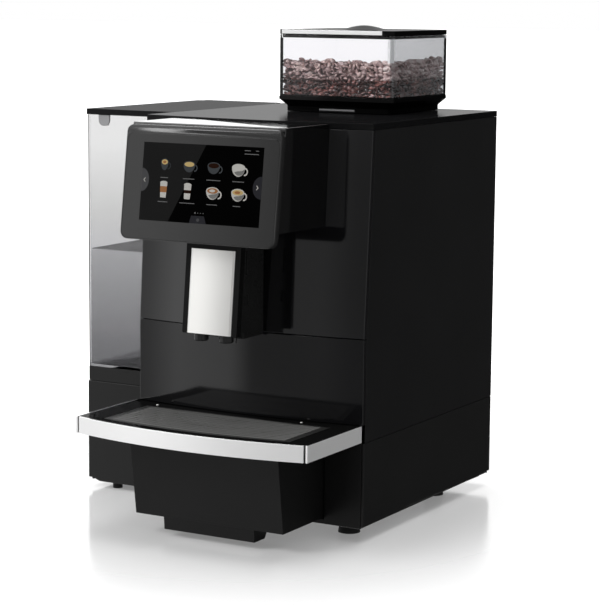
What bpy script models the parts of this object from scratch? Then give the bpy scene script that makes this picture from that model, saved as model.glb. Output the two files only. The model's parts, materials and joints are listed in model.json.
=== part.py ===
# Bean to cup coffee machine with a touch screen, a bean hopper and a water tank beside it.
# Metres, +Z up. The origin is on the floor under the middle of the outline; the front faces -Y.
# Each named object is one separate piece. Pieces that touch keep a seat gap between their meshes.

import math

import bmesh
import bpy
from mathutils import Matrix

# Clearances shared by all pieces
SEAT_GAP = 0.0003
SLIDE_GAP = 0.0010
OVERRUN = 0.0040
WELD_DISTANCE = 0.00001

# Whole machine
MAIN_WIDTH = 0.3000
COLUMN_WIDTH = 0.1272
BODY_DEPTH = 0.3440
BODY_HEIGHT = 0.4736
COLUMN_SETBACK = 0.0735
GROUND_CLEARANCE = 0.0160
COLUMN_CLEARANCE = 0.0082
SKIRT_TOP = 0.1151
DECK_HEIGHT = 0.1360
SEAM_HEIGHT = 0.2340
COVER_THICKNESS = 0.0070
COVER_EDGE_RADIUS = 0.0010

# Glossy front panels, bowed in plan, the upper one leaning back
PANEL_BOW = 0.0130
PANEL_LEAN = 0.0155
PANEL_THICKNESS = 0.0030
PANEL_RETURN = 0.0065
ARC_STEPS = 18

# Side, rear and lower panels
SIDE_THICKNESS = 0.0020
SKIRT_THICKNESS = 0.0030
SKIRT_FRONT_INSET = 0.0035
CORNER_LIFT = 0.0040
CORNER_LIFT_LENGTH = 0.0060
CORNER_LIFT_CHAMFER = 0.0100
REAR_LIFT_LENGTH = 0.0220
SKIRT_RISE_FRONT = 0.0022
SKIRT_RISE_MIDDLE = 0.0040
SKIRT_RISE_REAR = 0.0015
SKIRT_RISE_END = 0.0035
SKIRT_STEP_FROM_FRONT = 0.1080
SKIRT_STEP_LENGTH = 0.0070

# Rear panel openings
LOUVRE_ROWS = 9
LOUVRE_COLUMNS = 2
LOUVRE_LENGTH = 0.0800
LOUVRE_HEIGHT = 0.0040
LOUVRE_PITCH = 0.0110
LOUVRE_SPREAD = 0.1100
LOUVRE_DROP = 0.0536
INLET_X_FROM_RIGHT = 0.0600
INLET_HEIGHT = 0.0700
INLET_WIDTH = 0.0280
INLET_TALL = 0.0220
INLET_FLANGE = 0.0040
INLET_DEPTH = 0.0240
INLET_WALL = 0.0030
PIN_WIDTH = 0.0020
PIN_LENGTH = 0.0150
PIN_SPACING = 0.0070
SWITCH_DROP = 0.0340
ROCKER_WIDTH = 0.0120
ROCKER_TALL = 0.0200
ROCKER_DEPTH = 0.0090
ROCKER_TILT_DEGREES = 7.0
ROCKER_CLEARANCE = 0.0020

# Base pan, feet and shelf
PAN_THICKNESS = 0.0045
FOOT_RADIUS = 0.0130
FOOT_TOP_RADIUS = 0.0100
FOOT_INSET_X = 0.0400
FOOT_INSET_FRONT = 0.0450
FOOT_INSET_BACK = 0.0800
COLUMN_FOOT_RADIUS = 0.0060
COLUMN_FOOT_INSET_X = 0.0345
COLUMN_FOOT_INSET_Y = 0.0140
SHELF_ABOVE_SEAM = 0.0025
SHELF_THICKNESS = 0.0030
SHELF_FRONT_INSET = 0.0200
CHUTE_WIDTH = 0.0700
CHUTE_DEPTH = 0.0500

# Screen module
SCREEN_WIDTH = 0.1990
SCREEN_HEIGHT = 0.1287
SCREEN_TOP_DROP = 0.0014
SCREEN_FRONT_AT_BOTTOM = 0.1148
SCREEN_TILT_DEGREES = 7.6
SCREEN_CORNER_RADIUS = 0.0090
BEZEL_THICKNESS = 0.0090
BEZEL_EDGE_RADIUS = 0.0016
BEZEL_TOP_RADIUS = 0.0060
GLASS_HEIGHT = 0.1183
GLASS_BORDER = 0.0012
GLASS_THICKNESS = 0.0020
DISPLAY_WIDTH = 0.1600
DISPLAY_HEIGHT = 0.0978
DISPLAY_THICKNESS = 0.0030
HOUSING_RISE = 0.0149
HOUSING_SIDE_INSET = 0.0008
POCKET_SIDE_CLEARANCE = 0.0025
POCKET_FRONT = 0.0895
POCKET_HEADROOM = 0.0130

# Coffee spout
SPOUT_PLATE_HALF_WIDTH = 0.0289
SPOUT_DROP = 0.1045
SPOUT_RISE = 0.0500
SPOUT_PLATE_HEIGHT = 0.0946
SPOUT_PLATE_THICKNESS = 0.0030
SPOUT_PLATE_CORNER = 0.0015
SPOUT_PLATE_ROUNDING = 0.0025
SPOUT_FRONT_AT_BOTTOM = 0.0876
SPOUT_TILT_DEGREES = 5.7
BEZEL_SIDE_MARGIN = 0.0066
BEZEL_BOTTOM_MARGIN = 0.0006
BEZEL_TOP_MARGIN = 0.0180
SPOUT_BEZEL_THICKNESS = 0.0092
PLATE_PROUD = 0.0020
CARRIAGE_HALF_WIDTH = 0.0290
CARRIAGE_DROP = 0.0065
CARRIAGE_FRONT_RISE = 0.0005
CARRIAGE_STEP = 0.0600
CARRIAGE_REACH_UP = 0.0315
CARRIAGE_BACK = 0.0160
CARRIAGE_FLOOR = 0.0025
SIDE_SLOT_WIDTH = 0.0040
SIDE_SLOT_TALL = 0.0280
SIDE_SLOT_LIFT = 0.0707
SIDE_SLOT_BACK = 0.0535
SIDE_NOTCH_WIDTH = 0.0080
SIDE_NOTCH_TALL = 0.0130
SIDE_NOTCH_LIFT = 0.0365
SIDE_RELIEF_DEPTH = 0.0020
GUIDE_HALF_WIDTH = 0.0120
GUIDE_DEPTH = 0.0330
GUIDE_FLOOR_CLEARANCE = 0.0035
GUIDE_TOP_CLEARANCE = 0.0050
NOZZLE_RADIUS = 0.0082
NOZZLE_BORE_RADIUS = 0.0030
NOZZLE_SPACING = 0.0330
NOZZLE_DROP = 0.0095
NOZZLE_FORWARD = 0.0755
NOZZLE_CHAMFER = 0.0012
TIP_RADIUS = 0.0032
TIP_BORE_RADIUS = 0.0016
TIP_DROP = 0.0075
TIP_OFFSET_X = 0.0110
TIP_FORWARD = 0.0500

# Drip tray drawer
TRAY_REACH = 0.1240
TRAY_BOW = 0.0195
TRAY_SIDE_INSET = 0.0010
TRAY_LEFT_OVERHANG = 0.0058
TRIM_HEIGHT = 0.0194
TRIM_THICKNESS = 0.0025
TRIM_JOINT = 0.0022
DECK_SKIN = 0.0185
GRILLE_SIDE_MARGIN = 0.0270
GRILLE_FRONT_MARGIN = 0.0150
GRILLE_BACK_MARGIN = 0.0270
GRILLE_THICKNESS = 0.0040
GRILLE_RECESS = 0.0045
GRILLE_FRAME = 0.0060
GRILLE_BARS = 15
GRILLE_FIELDS = 4
GRILLE_BAR_WIDTH = 0.0022
GRILLE_RIB_WIDTH = 0.0030
GRILLE_NOTCH_RADIUS = 0.0060
DRAIN_LEDGE = 0.0050
TUB_SIDE_MARGIN = 0.0523
TUB_BOTTOM = 0.0229
TUB_FRONT_TOP = 0.0998
TUB_FRONT_BOTTOM = 0.0863
TUB_LENGTH_BEHIND_SEAM = 0.2400
TUB_WALL = 0.0025
TUB_BACK_HEIGHT = 0.0350
TONGUE_SIDE_MARGIN = 0.0377
TONGUE_BOTTOM = 0.0083
TONGUE_LENGTH = 0.0240
TONGUE_SLOPE = 0.0120
TUB_OPENING_MARGIN = 0.0015
RUNNER_HEIGHT = 0.0220
RUNNER_THICKNESS = 0.0060
RUNNER_LEDGE = 0.0090
RUNNER_LENGTH = 0.2400
RUNNER_INSET = 0.0300
BIN_SIDE_CLEARANCE = 0.0112
BIN_FRONT_INSET = 0.0100
BIN_LENGTH = 0.1700
BIN_HEADROOM = 0.0040
BIN_WALL = 0.0022
BIN_DRAFT_SHARE = 0.94

# Water tank column
TANK_LEDGE_TOP = 0.1538
COLUMN_SKIRT_TOP = 0.1355
TANK_SIDE_INSET = 0.0003
LEDGE_INSET = 0.0010
TANK_INNER_INSET = 0.0016
TANK_WALL = 0.0025
TANK_CORNER_RADIUS = 0.0032
TAB_WIDTH = 0.0160
TAB_DEPTH = 0.0135
TAB_FROM_LEFT = 0.0255
TAB_CLEARANCE = 0.0005
LID_GAP = 0.0006
LID_PIN_RADIUS = 0.0011
LID_BORE_RADIUS = 0.0014
LID_EAR_WIDTH = 0.0050
LID_EAR_LENGTH = 0.0090
VALVE_RADIUS = 0.0090
VALVE_FLANGE_RADIUS = 0.0130
VALVE_FLANGE_HEIGHT = 0.0040
VALVE_DROP = 0.0110
VALVE_FROM_BACK = 0.0300
VALVE_BORE_RADIUS = 0.0035
VALVE_RUN_GAP = 0.0006

# Bean hopper
HOPPER_WIDTH = 0.1550
HOPPER_DEPTH = 0.1505
HOPPER_CENTRE_FROM_MAIN_LEFT = 0.1656
HOPPER_CENTRE_BEHIND_SEAM = 0.2444
HOPPER_BASE_INSET = 0.0080
HOPPER_FOOT_HEIGHT = 0.0062
HOPPER_BASE_HEIGHT = 0.0144
HOPPER_CORNER_RADIUS = 0.0060
HOPPER_WALL = 0.0030
HOPPER_BOX_HEIGHT = 0.0777
THROAT_RADIUS = 0.0200
SHUTTER_THICKNESS = 0.0020
SHUTTER_HALF_WIDTH = 0.0240
SHUTTER_LENGTH_BEHIND_THROAT = 0.0632
LID_RIM_HEIGHT = 0.0058
LID_DOME_HEIGHT = 0.0050
LID_DOME_HALF_WIDTH = 0.0350
LID_PLUG_DEPTH = 0.0040
LID_PLUG_WALL = 0.0020
LID_TRIM_THICKNESS = 0.0012
LID_TRIM_MARGIN_LEFT = 0.0048
LID_TRIM_MARGIN_RIGHT = 0.0140
BEAN_DEPTH = 0.0440
BEAN_FALL_BACK = 0.19
BEAN_FALL_LEFT = 0.33
BEAN_RISE_BACK = 0.03
BEAN_SIDE_WIDTH = 0.1000
BEAN_WALL_GAP = 0.0006

# Grinder
GRINDER_FLANGE_RADIUS = 0.0440
GRINDER_FLANGE_HEIGHT = 0.0050
MOTOR_RADIUS = 0.0370
MOTOR_SHOULDER = 0.0060
GRINDER_HEAD_RADIUS = 0.0460
GRINDER_HEAD_HEIGHT = 0.0490
GRINDER_HEAD_DROP = 0.0886
THROAT_WALL = 0.0040
BURR_CHAMBER_RADIUS = 0.0270
BURR_CHAMBER_LIFT = 0.0090
BURR_CHAMBER_HEIGHT = 0.0310
BURR_RADIUS = 0.0240
BURR_TIP_RADIUS = 0.0090
BURR_HEIGHT = 0.0260
BURR_TEETH = 12
BURR_TOOTH_DEPTH_SHARE = 0.12
BURR_SHAFT_RADIUS = 0.0040
BURR_SHAFT_LENGTH = 0.0120

# Brew unit
BREW_HALF_WIDTH = 0.0440
BREW_FRONT = 0.0600
BREW_DEPTH = 0.0800
BREW_HEADROOM = 0.0450
BREW_PLATE = 0.0040
CHAMBER_RADIUS = 0.0300
CHAMBER_BORE_RADIUS = 0.0240
CHAMBER_BOTTOM = 0.0200
CHAMBER_HEIGHT = 0.0480
PISTON_CLEARANCE = 0.0006
PISTON_HEIGHT = 0.0140
PISTON_REST_ABOVE = 0.0060
PISTON_ROD_RADIUS = 0.0070
PISTON_ROD_HEADROOM = 0.0040

# Boiler, pump, board and water pipe
BOILER_RADIUS = 0.0340
BOILER_HEIGHT = 0.1100
BOILER_DOME = 0.0120
BOILER_FROM_MAIN_LEFT = 0.0480
BOILER_BEHIND_SEAM = 0.2400
PUMP_LENGTH = 0.1050
PUMP_WIDTH = 0.0420
PUMP_HEIGHT = 0.0460
PUMP_HEAD_RADIUS = 0.0160
PUMP_HEAD_LENGTH = 0.0300
PUMP_FROM_MAIN_LEFT = 0.0420
PUMP_BEHIND_SEAM = 0.0900
BOARD_LENGTH = 0.1500
BOARD_HEIGHT = 0.1000
BOARD_THICKNESS = 0.0020
BOARD_BEHIND_SEAM = 0.0600
BOARD_LIFT = 0.0200
BOARD_POST = 0.0080
BOARD_CHIPS = 5
CHIP_SIZE = 0.0160
CHIP_HEIGHT = 0.0060
PIPE_RADIUS = 0.0040
PIPE_RUN_HEIGHT = 0.1000
PIPE_RISER_FROM_MAIN_LEFT = 0.0300

# Places worked out from the sizes above
LEFT = -(MAIN_WIDTH + COLUMN_WIDTH) / 2
RIGHT = -LEFT
MAIN_LEFT = LEFT + COLUMN_WIDTH
MAIN_MIDDLE = (MAIN_LEFT + RIGHT) / 2
FRONT = -(TRAY_REACH + TRAY_BOW + BODY_DEPTH) / 2
BACK = -FRONT
SEAM_Y = BACK - BODY_DEPTH
COLUMN_FRONT = SEAM_Y + COLUMN_SETBACK
COVER_UNDER = BODY_HEIGHT - COVER_THICKNESS
LEAN_SLOPE = PANEL_LEAN / (COVER_UNDER - SEAM_HEIGHT)
PAN_BOTTOM = GROUND_CLEARANCE + SEAT_GAP
PAN_TOP = PAN_BOTTOM + PAN_THICKNESS
SHELF_BOTTOM = SEAM_HEIGHT + SHELF_ABOVE_SEAM
SHELF_TOP = SHELF_BOTTOM + SHELF_THICKNESS
SCREEN_TILT = math.radians(SCREEN_TILT_DEGREES)
SPOUT_TILT = math.radians(SPOUT_TILT_DEGREES)
SCREEN_TOP = BODY_HEIGHT - SCREEN_TOP_DROP
SCREEN_BOTTOM = SCREEN_TOP - SCREEN_HEIGHT
HOUSING_BOTTOM = SCREEN_BOTTOM + HOUSING_RISE
SPOUT_PLATE_BOTTOM = SCREEN_BOTTOM - SPOUT_DROP
CARRIAGE_BOTTOM = SPOUT_PLATE_BOTTOM - CARRIAGE_DROP
CARRIAGE_FRONT_BOTTOM = SPOUT_PLATE_BOTTOM + CARRIAGE_FRONT_RISE
CARRIAGE_TOP = SCREEN_BOTTOM + CARRIAGE_REACH_UP
POCKET_HALF_WIDTH = SPOUT_PLATE_HALF_WIDTH + BEZEL_SIDE_MARGIN + POCKET_SIDE_CLEARANCE
POCKET_TOP = CARRIAGE_TOP + SPOUT_RISE + POCKET_HEADROOM
GUIDE_BOTTOM = CARRIAGE_BOTTOM + CARRIAGE_FLOOR + SPOUT_RISE + GUIDE_FLOOR_CLEARANCE
GUIDE_TOP = POCKET_TOP - GUIDE_TOP_CLEARANCE
TUB_HALF_WIDTH = MAIN_WIDTH / 2 - TUB_SIDE_MARGIN
TONGUE_HALF_WIDTH = TUB_HALF_WIDTH - TONGUE_SIDE_MARGIN
BIN_HALF_WIDTH = TUB_HALF_WIDTH - TUB_WALL - BIN_SIDE_CLEARANCE
BIN_TOP = DECK_HEIGHT - BIN_HEADROOM
GRINDER_HEAD_TOP = BODY_HEIGHT - GRINDER_HEAD_DROP
GRINDER_HEAD_BOTTOM = GRINDER_HEAD_TOP - GRINDER_HEAD_HEIGHT
BURR_CHAMBER_FLOOR = GRINDER_HEAD_BOTTOM + BURR_CHAMBER_LIFT
BURR_CHAMBER_TOP = BURR_CHAMBER_FLOOR + BURR_CHAMBER_HEIGHT
BREW_TOP = COVER_UNDER - BREW_HEADROOM
HOPPER_X = MAIN_LEFT + HOPPER_CENTRE_FROM_MAIN_LEFT
HOPPER_Y = SEAM_Y + HOPPER_CENTRE_BEHIND_SEAM
HOPPER_BASE_TOP = BODY_HEIGHT + SEAT_GAP + HOPPER_BASE_HEIGHT
HOPPER_BOX_BOTTOM = HOPPER_BASE_TOP + SEAT_GAP
HOPPER_BOX_TOP = HOPPER_BOX_BOTTOM + HOPPER_BOX_HEIGHT
BEAN_BOTTOM = HOPPER_BOX_BOTTOM + HOPPER_WALL + SEAT_GAP
BEAN_LEVEL = BEAN_BOTTOM + BEAN_DEPTH
TANK_FLOOR = TANK_LEDGE_TOP + SEAT_GAP
TANK_TOP = COVER_UNDER - SEAT_GAP

# Colours as the pieces show them: red, green, blue, roughness, metallic, see-through share
FINISHES = {
    "black_gloss": (0.012, 0.012, 0.013, 0.08, 0.0, 0.0),
    "black_satin": (0.016, 0.016, 0.017, 0.35, 0.0, 0.0),
    "black_matte": (0.014, 0.014, 0.014, 0.55, 0.0, 0.0),
    "aluminium": (0.78, 0.78, 0.79, 0.32, 1.0, 0.0),
    "steel": (0.62, 0.62, 0.62, 0.28, 1.0, 0.0),
    "chrome": (0.85, 0.85, 0.86, 0.08, 1.0, 0.0),
    "brass": (0.70, 0.52, 0.24, 0.30, 1.0, 0.0),
    "rubber": (0.010, 0.010, 0.010, 0.80, 0.0, 0.0),
    "smoke_clear": (0.62, 0.65, 0.68, 0.05, 0.0, 0.75),
    "clear": (0.95, 0.96, 0.97, 0.03, 0.0, 0.90),
    "glass": (0.008, 0.008, 0.009, 0.04, 0.0, 0.0),
    "display": (0.020, 0.020, 0.022, 0.20, 0.0, 0.0),
    "beans": (0.070, 0.028, 0.018, 0.45, 0.0, 0.0),
    "grey_plastic": (0.26, 0.26, 0.27, 0.45, 0.0, 0.0),
    "board_green": (0.015, 0.090, 0.040, 0.50, 0.0, 0.0),
}

PARTS = {}


def clear_scene():
    for thing in list(bpy.data.objects):
        bpy.data.objects.remove(thing, do_unlink=True)
    for name in ("coffee_machine", "cutters"):
        group = bpy.data.collections.new(name)
        bpy.context.scene.collection.children.link(group)


def group_named(name):
    return bpy.data.collections[name]


def material_named(finish):
    found = bpy.data.materials.get(finish)
    if found is not None:
        return found
    red, green, blue, roughness, metallic, clear = FINISHES[finish]
    material = bpy.data.materials.new(finish)
    material.use_nodes = True
    shader = material.node_tree.nodes["Principled BSDF"]
    shader.inputs["Base Color"].default_value = (red, green, blue, 1.0)
    shader.inputs["Roughness"].default_value = roughness
    shader.inputs["Metallic"].default_value = metallic
    shader.inputs["Transmission Weight"].default_value = clear
    return material


def new_piece(name, mesh, location=(0, 0, 0)):
    piece = bpy.data.objects.new(name, mesh)
    piece.location = location
    group_named("cutters").objects.link(piece)
    piece.hide_render = True
    piece.display_type = "WIRE"
    return piece


def keep(piece, finish, smooth=True):
    # A finished piece moves from the cutters to the machine and gets a material of its own.
    group_named("cutters").objects.unlink(piece)
    group_named("coffee_machine").objects.link(piece)
    piece.hide_render = False
    piece.display_type = "TEXTURED"
    own = material_named(finish).copy()
    own.name = piece.name + "_" + finish
    piece.data.materials.clear()
    piece.data.materials.append(own)
    if smooth:
        piece.data.shade_smooth()
        piece.data.set_sharp_from_angle(angle=math.radians(35))
    PARTS[piece.name] = piece
    return piece


def box(name, low, high):
    size = [high[i] - low[i] for i in range(3)]
    middle = [(high[i] + low[i]) / 2 for i in range(3)]
    mesh = bpy.data.meshes.new(name)
    work = bmesh.new()
    bmesh.ops.create_cube(work, size=1)
    bmesh.ops.scale(work, vec=size, verts=work.verts)
    work.to_mesh(mesh)
    work.free()
    return new_piece(name, mesh, middle)


def rod(name, radius, low, high, axis="Z", segments=24, end_radius=None):
    # A round bar between two points that differ along one axis only.
    reach = "XYZ".index(axis)
    length = high[reach] - low[reach]
    middle = [(high[i] + low[i]) / 2 for i in range(3)]
    mesh = bpy.data.meshes.new(name)
    work = bmesh.new()
    bmesh.ops.create_cone(
        work, cap_ends=True, cap_tris=False, segments=segments,
        radius1=radius, radius2=radius if end_radius is None else end_radius, depth=length,
    )
    turn = {"Z": Matrix(), "X": Matrix.Rotation(math.pi / 2, 4, "Y"),
            "Y": Matrix.Rotation(-math.pi / 2, 4, "X")}[axis]
    bmesh.ops.transform(work, matrix=turn, verts=work.verts)
    work.to_mesh(mesh)
    work.free()
    return new_piece(name, mesh, middle)


def turned(name, profile, centre, steps=32, ring=False):
    # The profile is (radius, height) from the top down its outer side; a ring closes on itself.
    mesh = bpy.data.meshes.new(name)
    points = [(radius, 0, height) for radius, height in profile]
    edges = [(i, i + 1) for i in range(len(points) - 1)]
    if ring:
        edges.append((len(points) - 1, 0))
    mesh.from_pydata(points, edges, [])
    piece = new_piece(name, mesh, centre)
    spin = piece.modifiers.new("Turn", "SCREW")
    spin.steps = steps
    spin.render_steps = steps
    spin.use_merge_vertices = True
    spin.merge_threshold = WELD_DISTANCE
    return piece


def slab(name, rings, low, high, axis="Z"):
    # Flat outline, first ring outside and the others holes, extruded from low to high along an axis.
    # Its points are (x, y) for Z, (y, z) for X and (x, z) for Y.
    curve = bpy.data.curves.new(name, "CURVE")
    curve.dimensions = "2D"
    curve.fill_mode = "BOTH"
    curve.extrude = (high - low) / 2
    for ring in rings:
        spline = curve.splines.new("POLY")
        spline.points.add(len(ring) - 1)
        for point, (u, v) in zip(spline.points, ring):
            point.co = (u, v, 0, 1)
        spline.use_cyclic_u = True
    carrier = bpy.data.objects.new(name, curve)
    mesh = bpy.data.meshes.new_from_object(carrier)
    bpy.data.objects.remove(carrier)
    bpy.data.curves.remove(curve)
    middle = (low + high) / 2
    turn = {"Z": Matrix(), "X": Matrix(((0, 0, 1, 0), (1, 0, 0, 0), (0, 1, 0, 0), (0, 0, 0, 1))),
            "Y": Matrix(((1, 0, 0, 0), (0, 0, -1, 0), (0, 1, 0, 0), (0, 0, 0, 1)))}[axis]
    place = {"Z": (0, 0, middle), "X": (middle, 0, 0), "Y": (0, middle, 0)}[axis]
    work = bmesh.new()
    work.from_mesh(mesh)
    bmesh.ops.remove_doubles(work, verts=work.verts, dist=WELD_DISTANCE)
    bmesh.ops.transform(work, matrix=turn, verts=work.verts)
    bmesh.ops.recalc_face_normals(work, faces=work.faces)
    work.to_mesh(mesh)
    work.free()
    mesh.name = name
    return new_piece(name, mesh, place)


def pipe(name, points, radius):
    # A round pipe through the points, with its bends rounded by short arcs of extra points.
    curve = bpy.data.curves.new(name, "CURVE")
    curve.dimensions = "3D"
    curve.bevel_depth = radius
    curve.bevel_resolution = 2
    curve.use_fill_caps = True
    spline = curve.splines.new("POLY")
    spline.points.add(len(points) - 1)
    for point, place in zip(spline.points, points):
        point.co = (*place, 1)
    carrier = bpy.data.objects.new(name, curve)
    mesh = bpy.data.meshes.new_from_object(carrier)
    bpy.data.objects.remove(carrier)
    bpy.data.curves.remove(curve)
    work = bmesh.new()
    work.from_mesh(mesh)
    bmesh.ops.remove_doubles(work, verts=work.verts, dist=WELD_DISTANCE)
    bmesh.ops.recalc_face_normals(work, faces=work.faces)
    work.to_mesh(mesh)
    work.free()
    mesh.name = name
    return new_piece(name, mesh)


def cut(piece, *cutters):
    for cutter in cutters:
        step = piece.modifiers.new("Cut " + cutter.name, "BOOLEAN")
        step.operation = "DIFFERENCE"
        step.object = cutter
    return piece


def fuse(piece, *others):
    for other in others:
        step = piece.modifiers.new("Join " + other.name, "BOOLEAN")
        step.operation = "UNION"
        step.object = other
    return piece


def round_edges(piece, width, segments=2, degrees=40):
    step = piece.modifiers.new("Round", "BEVEL")
    step.width = width
    step.segments = segments
    step.limit_method = "ANGLE"
    step.angle_limit = math.radians(degrees)
    return piece


def shear_back(piece, slope, from_height):
    # Leans a piece back: each point moves along +Y with its height.
    lift = piece.location.z - from_height
    for vertex in piece.data.vertices:
        vertex.co.y += slope * (vertex.co.z + lift)
    return piece


def bow_forward(across, half_width, bow):
    # How far a bowed front stands ahead of its corners, at a distance across from its middle.
    radius = (half_width ** 2 + bow ** 2) / (2 * bow)
    return math.sqrt(radius ** 2 - across ** 2) - (radius - bow)


def bowed_row(x_from, x_to, corner_y, half_width, bow):
    row = []
    for step in range(ARC_STEPS + 1):
        x = x_from + (x_to - x_from) * step / ARC_STEPS
        row.append((x, corner_y - bow_forward(x - MAIN_MIDDLE, half_width, bow)))
    return row


def rounded_rectangle(x_low, x_high, y_low, y_high, radius, steps=4):
    corners = ((x_high - radius, y_high - radius), (x_low + radius, y_high - radius),
               (x_low + radius, y_low + radius), (x_high - radius, y_low + radius))
    ring = []
    for quarter, (x, y) in enumerate(corners):
        for step in range(steps + 1):
            angle = (quarter + step / steps) * math.pi / 2
            ring.append((x + radius * math.cos(angle), y + radius * math.sin(angle)))
    return ring


def circle(x, y, radius, steps=24):
    return [(x + radius * math.cos(2 * math.pi * i / steps), y + radius * math.sin(2 * math.pi * i / steps))
            for i in range(steps)]


def rectangle(x_low, x_high, y_low, y_high):
    return [(x_low, y_low), (x_high, y_low), (x_high, y_high), (x_low, y_high)]


def panel_ring(thickness, depth):
    # Plan of a front panel: bowed face with a return along each side.
    half = MAIN_WIDTH / 2
    face = bowed_row(MAIN_LEFT, RIGHT, SEAM_Y, half, PANEL_BOW)
    inside = bowed_row(RIGHT - thickness, MAIN_LEFT + thickness, SEAM_Y + thickness, half, PANEL_BOW)
    back = SEAM_Y + depth
    return face + [(RIGHT, back), (RIGHT - thickness, back)] + inside + [
        (MAIN_LEFT + thickness, back), (MAIN_LEFT, back)]


def behind_bow(name, corner, low, high):
    # Everything behind a bowed face with this corner line, from one seat gap ahead of it.
    face = bowed_row(MAIN_LEFT, RIGHT, corner - SEAT_GAP, MAIN_WIDTH / 2, PANEL_BOW)
    return slab(name, [face + [(RIGHT, BACK), (MAIN_LEFT, BACK)]], low, high)


def behind_upper_panel(name):
    return shear_back(behind_bow(name, SEAM_Y, SEAM_HEIGHT, BODY_HEIGHT + OVERRUN), LEAN_SLOPE, SEAM_HEIGHT)


def front_panels():
    upper = slab("upper_front_panel", [panel_ring(PANEL_THICKNESS, PANEL_RETURN)],
                 SEAM_HEIGHT + SEAT_GAP, COVER_UNDER - SEAT_GAP)
    keep(shear_back(upper, LEAN_SLOPE, SEAM_HEIGHT), "black_gloss")
    lower = slab("lower_front_panel", [panel_ring(PANEL_THICKNESS, PANEL_RETURN)],
                 DECK_HEIGHT + SEAT_GAP, SEAM_HEIGHT - SEAT_GAP)
    keep(lower, "black_gloss")


def side_outline(bottom, top, front):
    # Side view of a side panel: upright to the seam, then leaning back with the front panel.
    lean_top = front + LEAN_SLOPE * (top - SEAM_HEIGHT)
    return [(front, bottom), (BACK, bottom), (BACK, top), (lean_top, top), (front, SEAM_HEIGHT)]


def side_panels():
    front = SEAM_Y + PANEL_RETURN + SEAT_GAP
    top = COVER_UNDER - SEAT_GAP
    right = slab("right_side_panel", [side_outline(SKIRT_TOP + SEAT_GAP, top, front)],
                 RIGHT - SIDE_THICKNESS, RIGHT, "X")
    keep(right, "black_satin")
    left = slab("left_side_panel", [side_outline(GROUND_CLEARANCE, top, front)],
                MAIN_LEFT, MAIN_LEFT + SIDE_THICKNESS, "X")
    pipe_hole = rod("pipe_hole_in_left_panel", PIPE_RADIUS + SEAT_GAP,
                    (MAIN_LEFT - OVERRUN, pipe_y(), PIPE_RUN_HEIGHT),
                    (MAIN_LEFT + SIDE_THICKNESS + OVERRUN, pipe_y(), PIPE_RUN_HEIGHT), "X", 16)
    keep(cut(left, pipe_hole), "black_satin")


def right_skirt_outline():
    # The lower edge steps up behind the front foot, runs down to the back and lifts at its end.
    front = SEAM_Y + SKIRT_FRONT_INSET
    step = SEAM_Y + SKIRT_STEP_FROM_FRONT
    end = BACK - REAR_LIFT_LENGTH
    low = GROUND_CLEARANCE
    return [(front, SKIRT_TOP), (front, low + SKIRT_RISE_FRONT), (step, low + SKIRT_RISE_FRONT),
            (step + SKIRT_STEP_LENGTH, low + SKIRT_RISE_MIDDLE),
            (end - CORNER_LIFT_CHAMFER, low + SKIRT_RISE_REAR), (end, low + SKIRT_RISE_END),
            (BACK, low + SKIRT_RISE_END), (BACK, SKIRT_TOP)]


def skirts():
    right = slab("right_skirt", [right_skirt_outline()], RIGHT - SKIRT_THICKNESS, RIGHT, "X")
    keep(right, "black_matte")

    # The column's skirt is one wrap: front, left side and back, cut from a plan ring by its side views.
    wall = SKIRT_THICKNESS
    inner_x = MAIN_LEFT - SEAT_GAP
    ring = [(inner_x, COLUMN_FRONT), (LEFT, COLUMN_FRONT), (LEFT, BACK), (inner_x, BACK),
            (inner_x, BACK - wall), (LEFT + wall, BACK - wall), (LEFT + wall, COLUMN_FRONT + wall),
            (inner_x, COLUMN_FRONT + wall)]
    bottom = COLUMN_CLEARANCE
    wrap = slab("column_skirt", [ring], bottom, COLUMN_SKIRT_TOP)
    below = bottom - OVERRUN
    raised = bottom + CORNER_LIFT
    step = CORNER_LIFT_LENGTH
    front_lift = slab("column_front_lift", [[
        (LEFT - OVERRUN, below), (LEFT + step + CORNER_LIFT_CHAMFER, below),
        (LEFT + step + CORNER_LIFT_CHAMFER, bottom), (LEFT + step, raised),
        (LEFT - OVERRUN, raised)]], COLUMN_FRONT - OVERRUN, COLUMN_FRONT + wall + OVERRUN, "Y")
    side_lift = slab("column_side_lift", [[
        (BACK + OVERRUN, below), (BACK - REAR_LIFT_LENGTH - CORNER_LIFT_CHAMFER, below),
        (BACK - REAR_LIFT_LENGTH - CORNER_LIFT_CHAMFER, bottom),
        (BACK - REAR_LIFT_LENGTH, raised), (BACK + OVERRUN, raised)]],
        LEFT - OVERRUN, LEFT + wall + OVERRUN, "X")
    keep(cut(wrap, front_lift, side_lift), "black_gloss")


def front_frame():
    # Lower front wall of the main unit, a U round the tray drawer.
    low_x = MAIN_LEFT + SIDE_THICKNESS + SEAT_GAP
    high_x = RIGHT - SKIRT_THICKNESS - SEAT_GAP
    gap = TUB_HALF_WIDTH + TUB_OPENING_MARGIN
    top = SKIRT_TOP
    sill = TUB_BOTTOM - SLIDE_GAP
    ring = [(low_x, GROUND_CLEARANCE), (high_x, GROUND_CLEARANCE), (high_x, top),
            (MAIN_MIDDLE + gap, top), (MAIN_MIDDLE + gap, sill), (MAIN_MIDDLE - gap, sill),
            (MAIN_MIDDLE - gap, top), (low_x, top)]
    y_low = SEAM_Y + SKIRT_FRONT_INSET
    keep(slab("front_frame", [ring], y_low, y_low + SKIRT_THICKNESS, "Y"), "black_matte")


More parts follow.
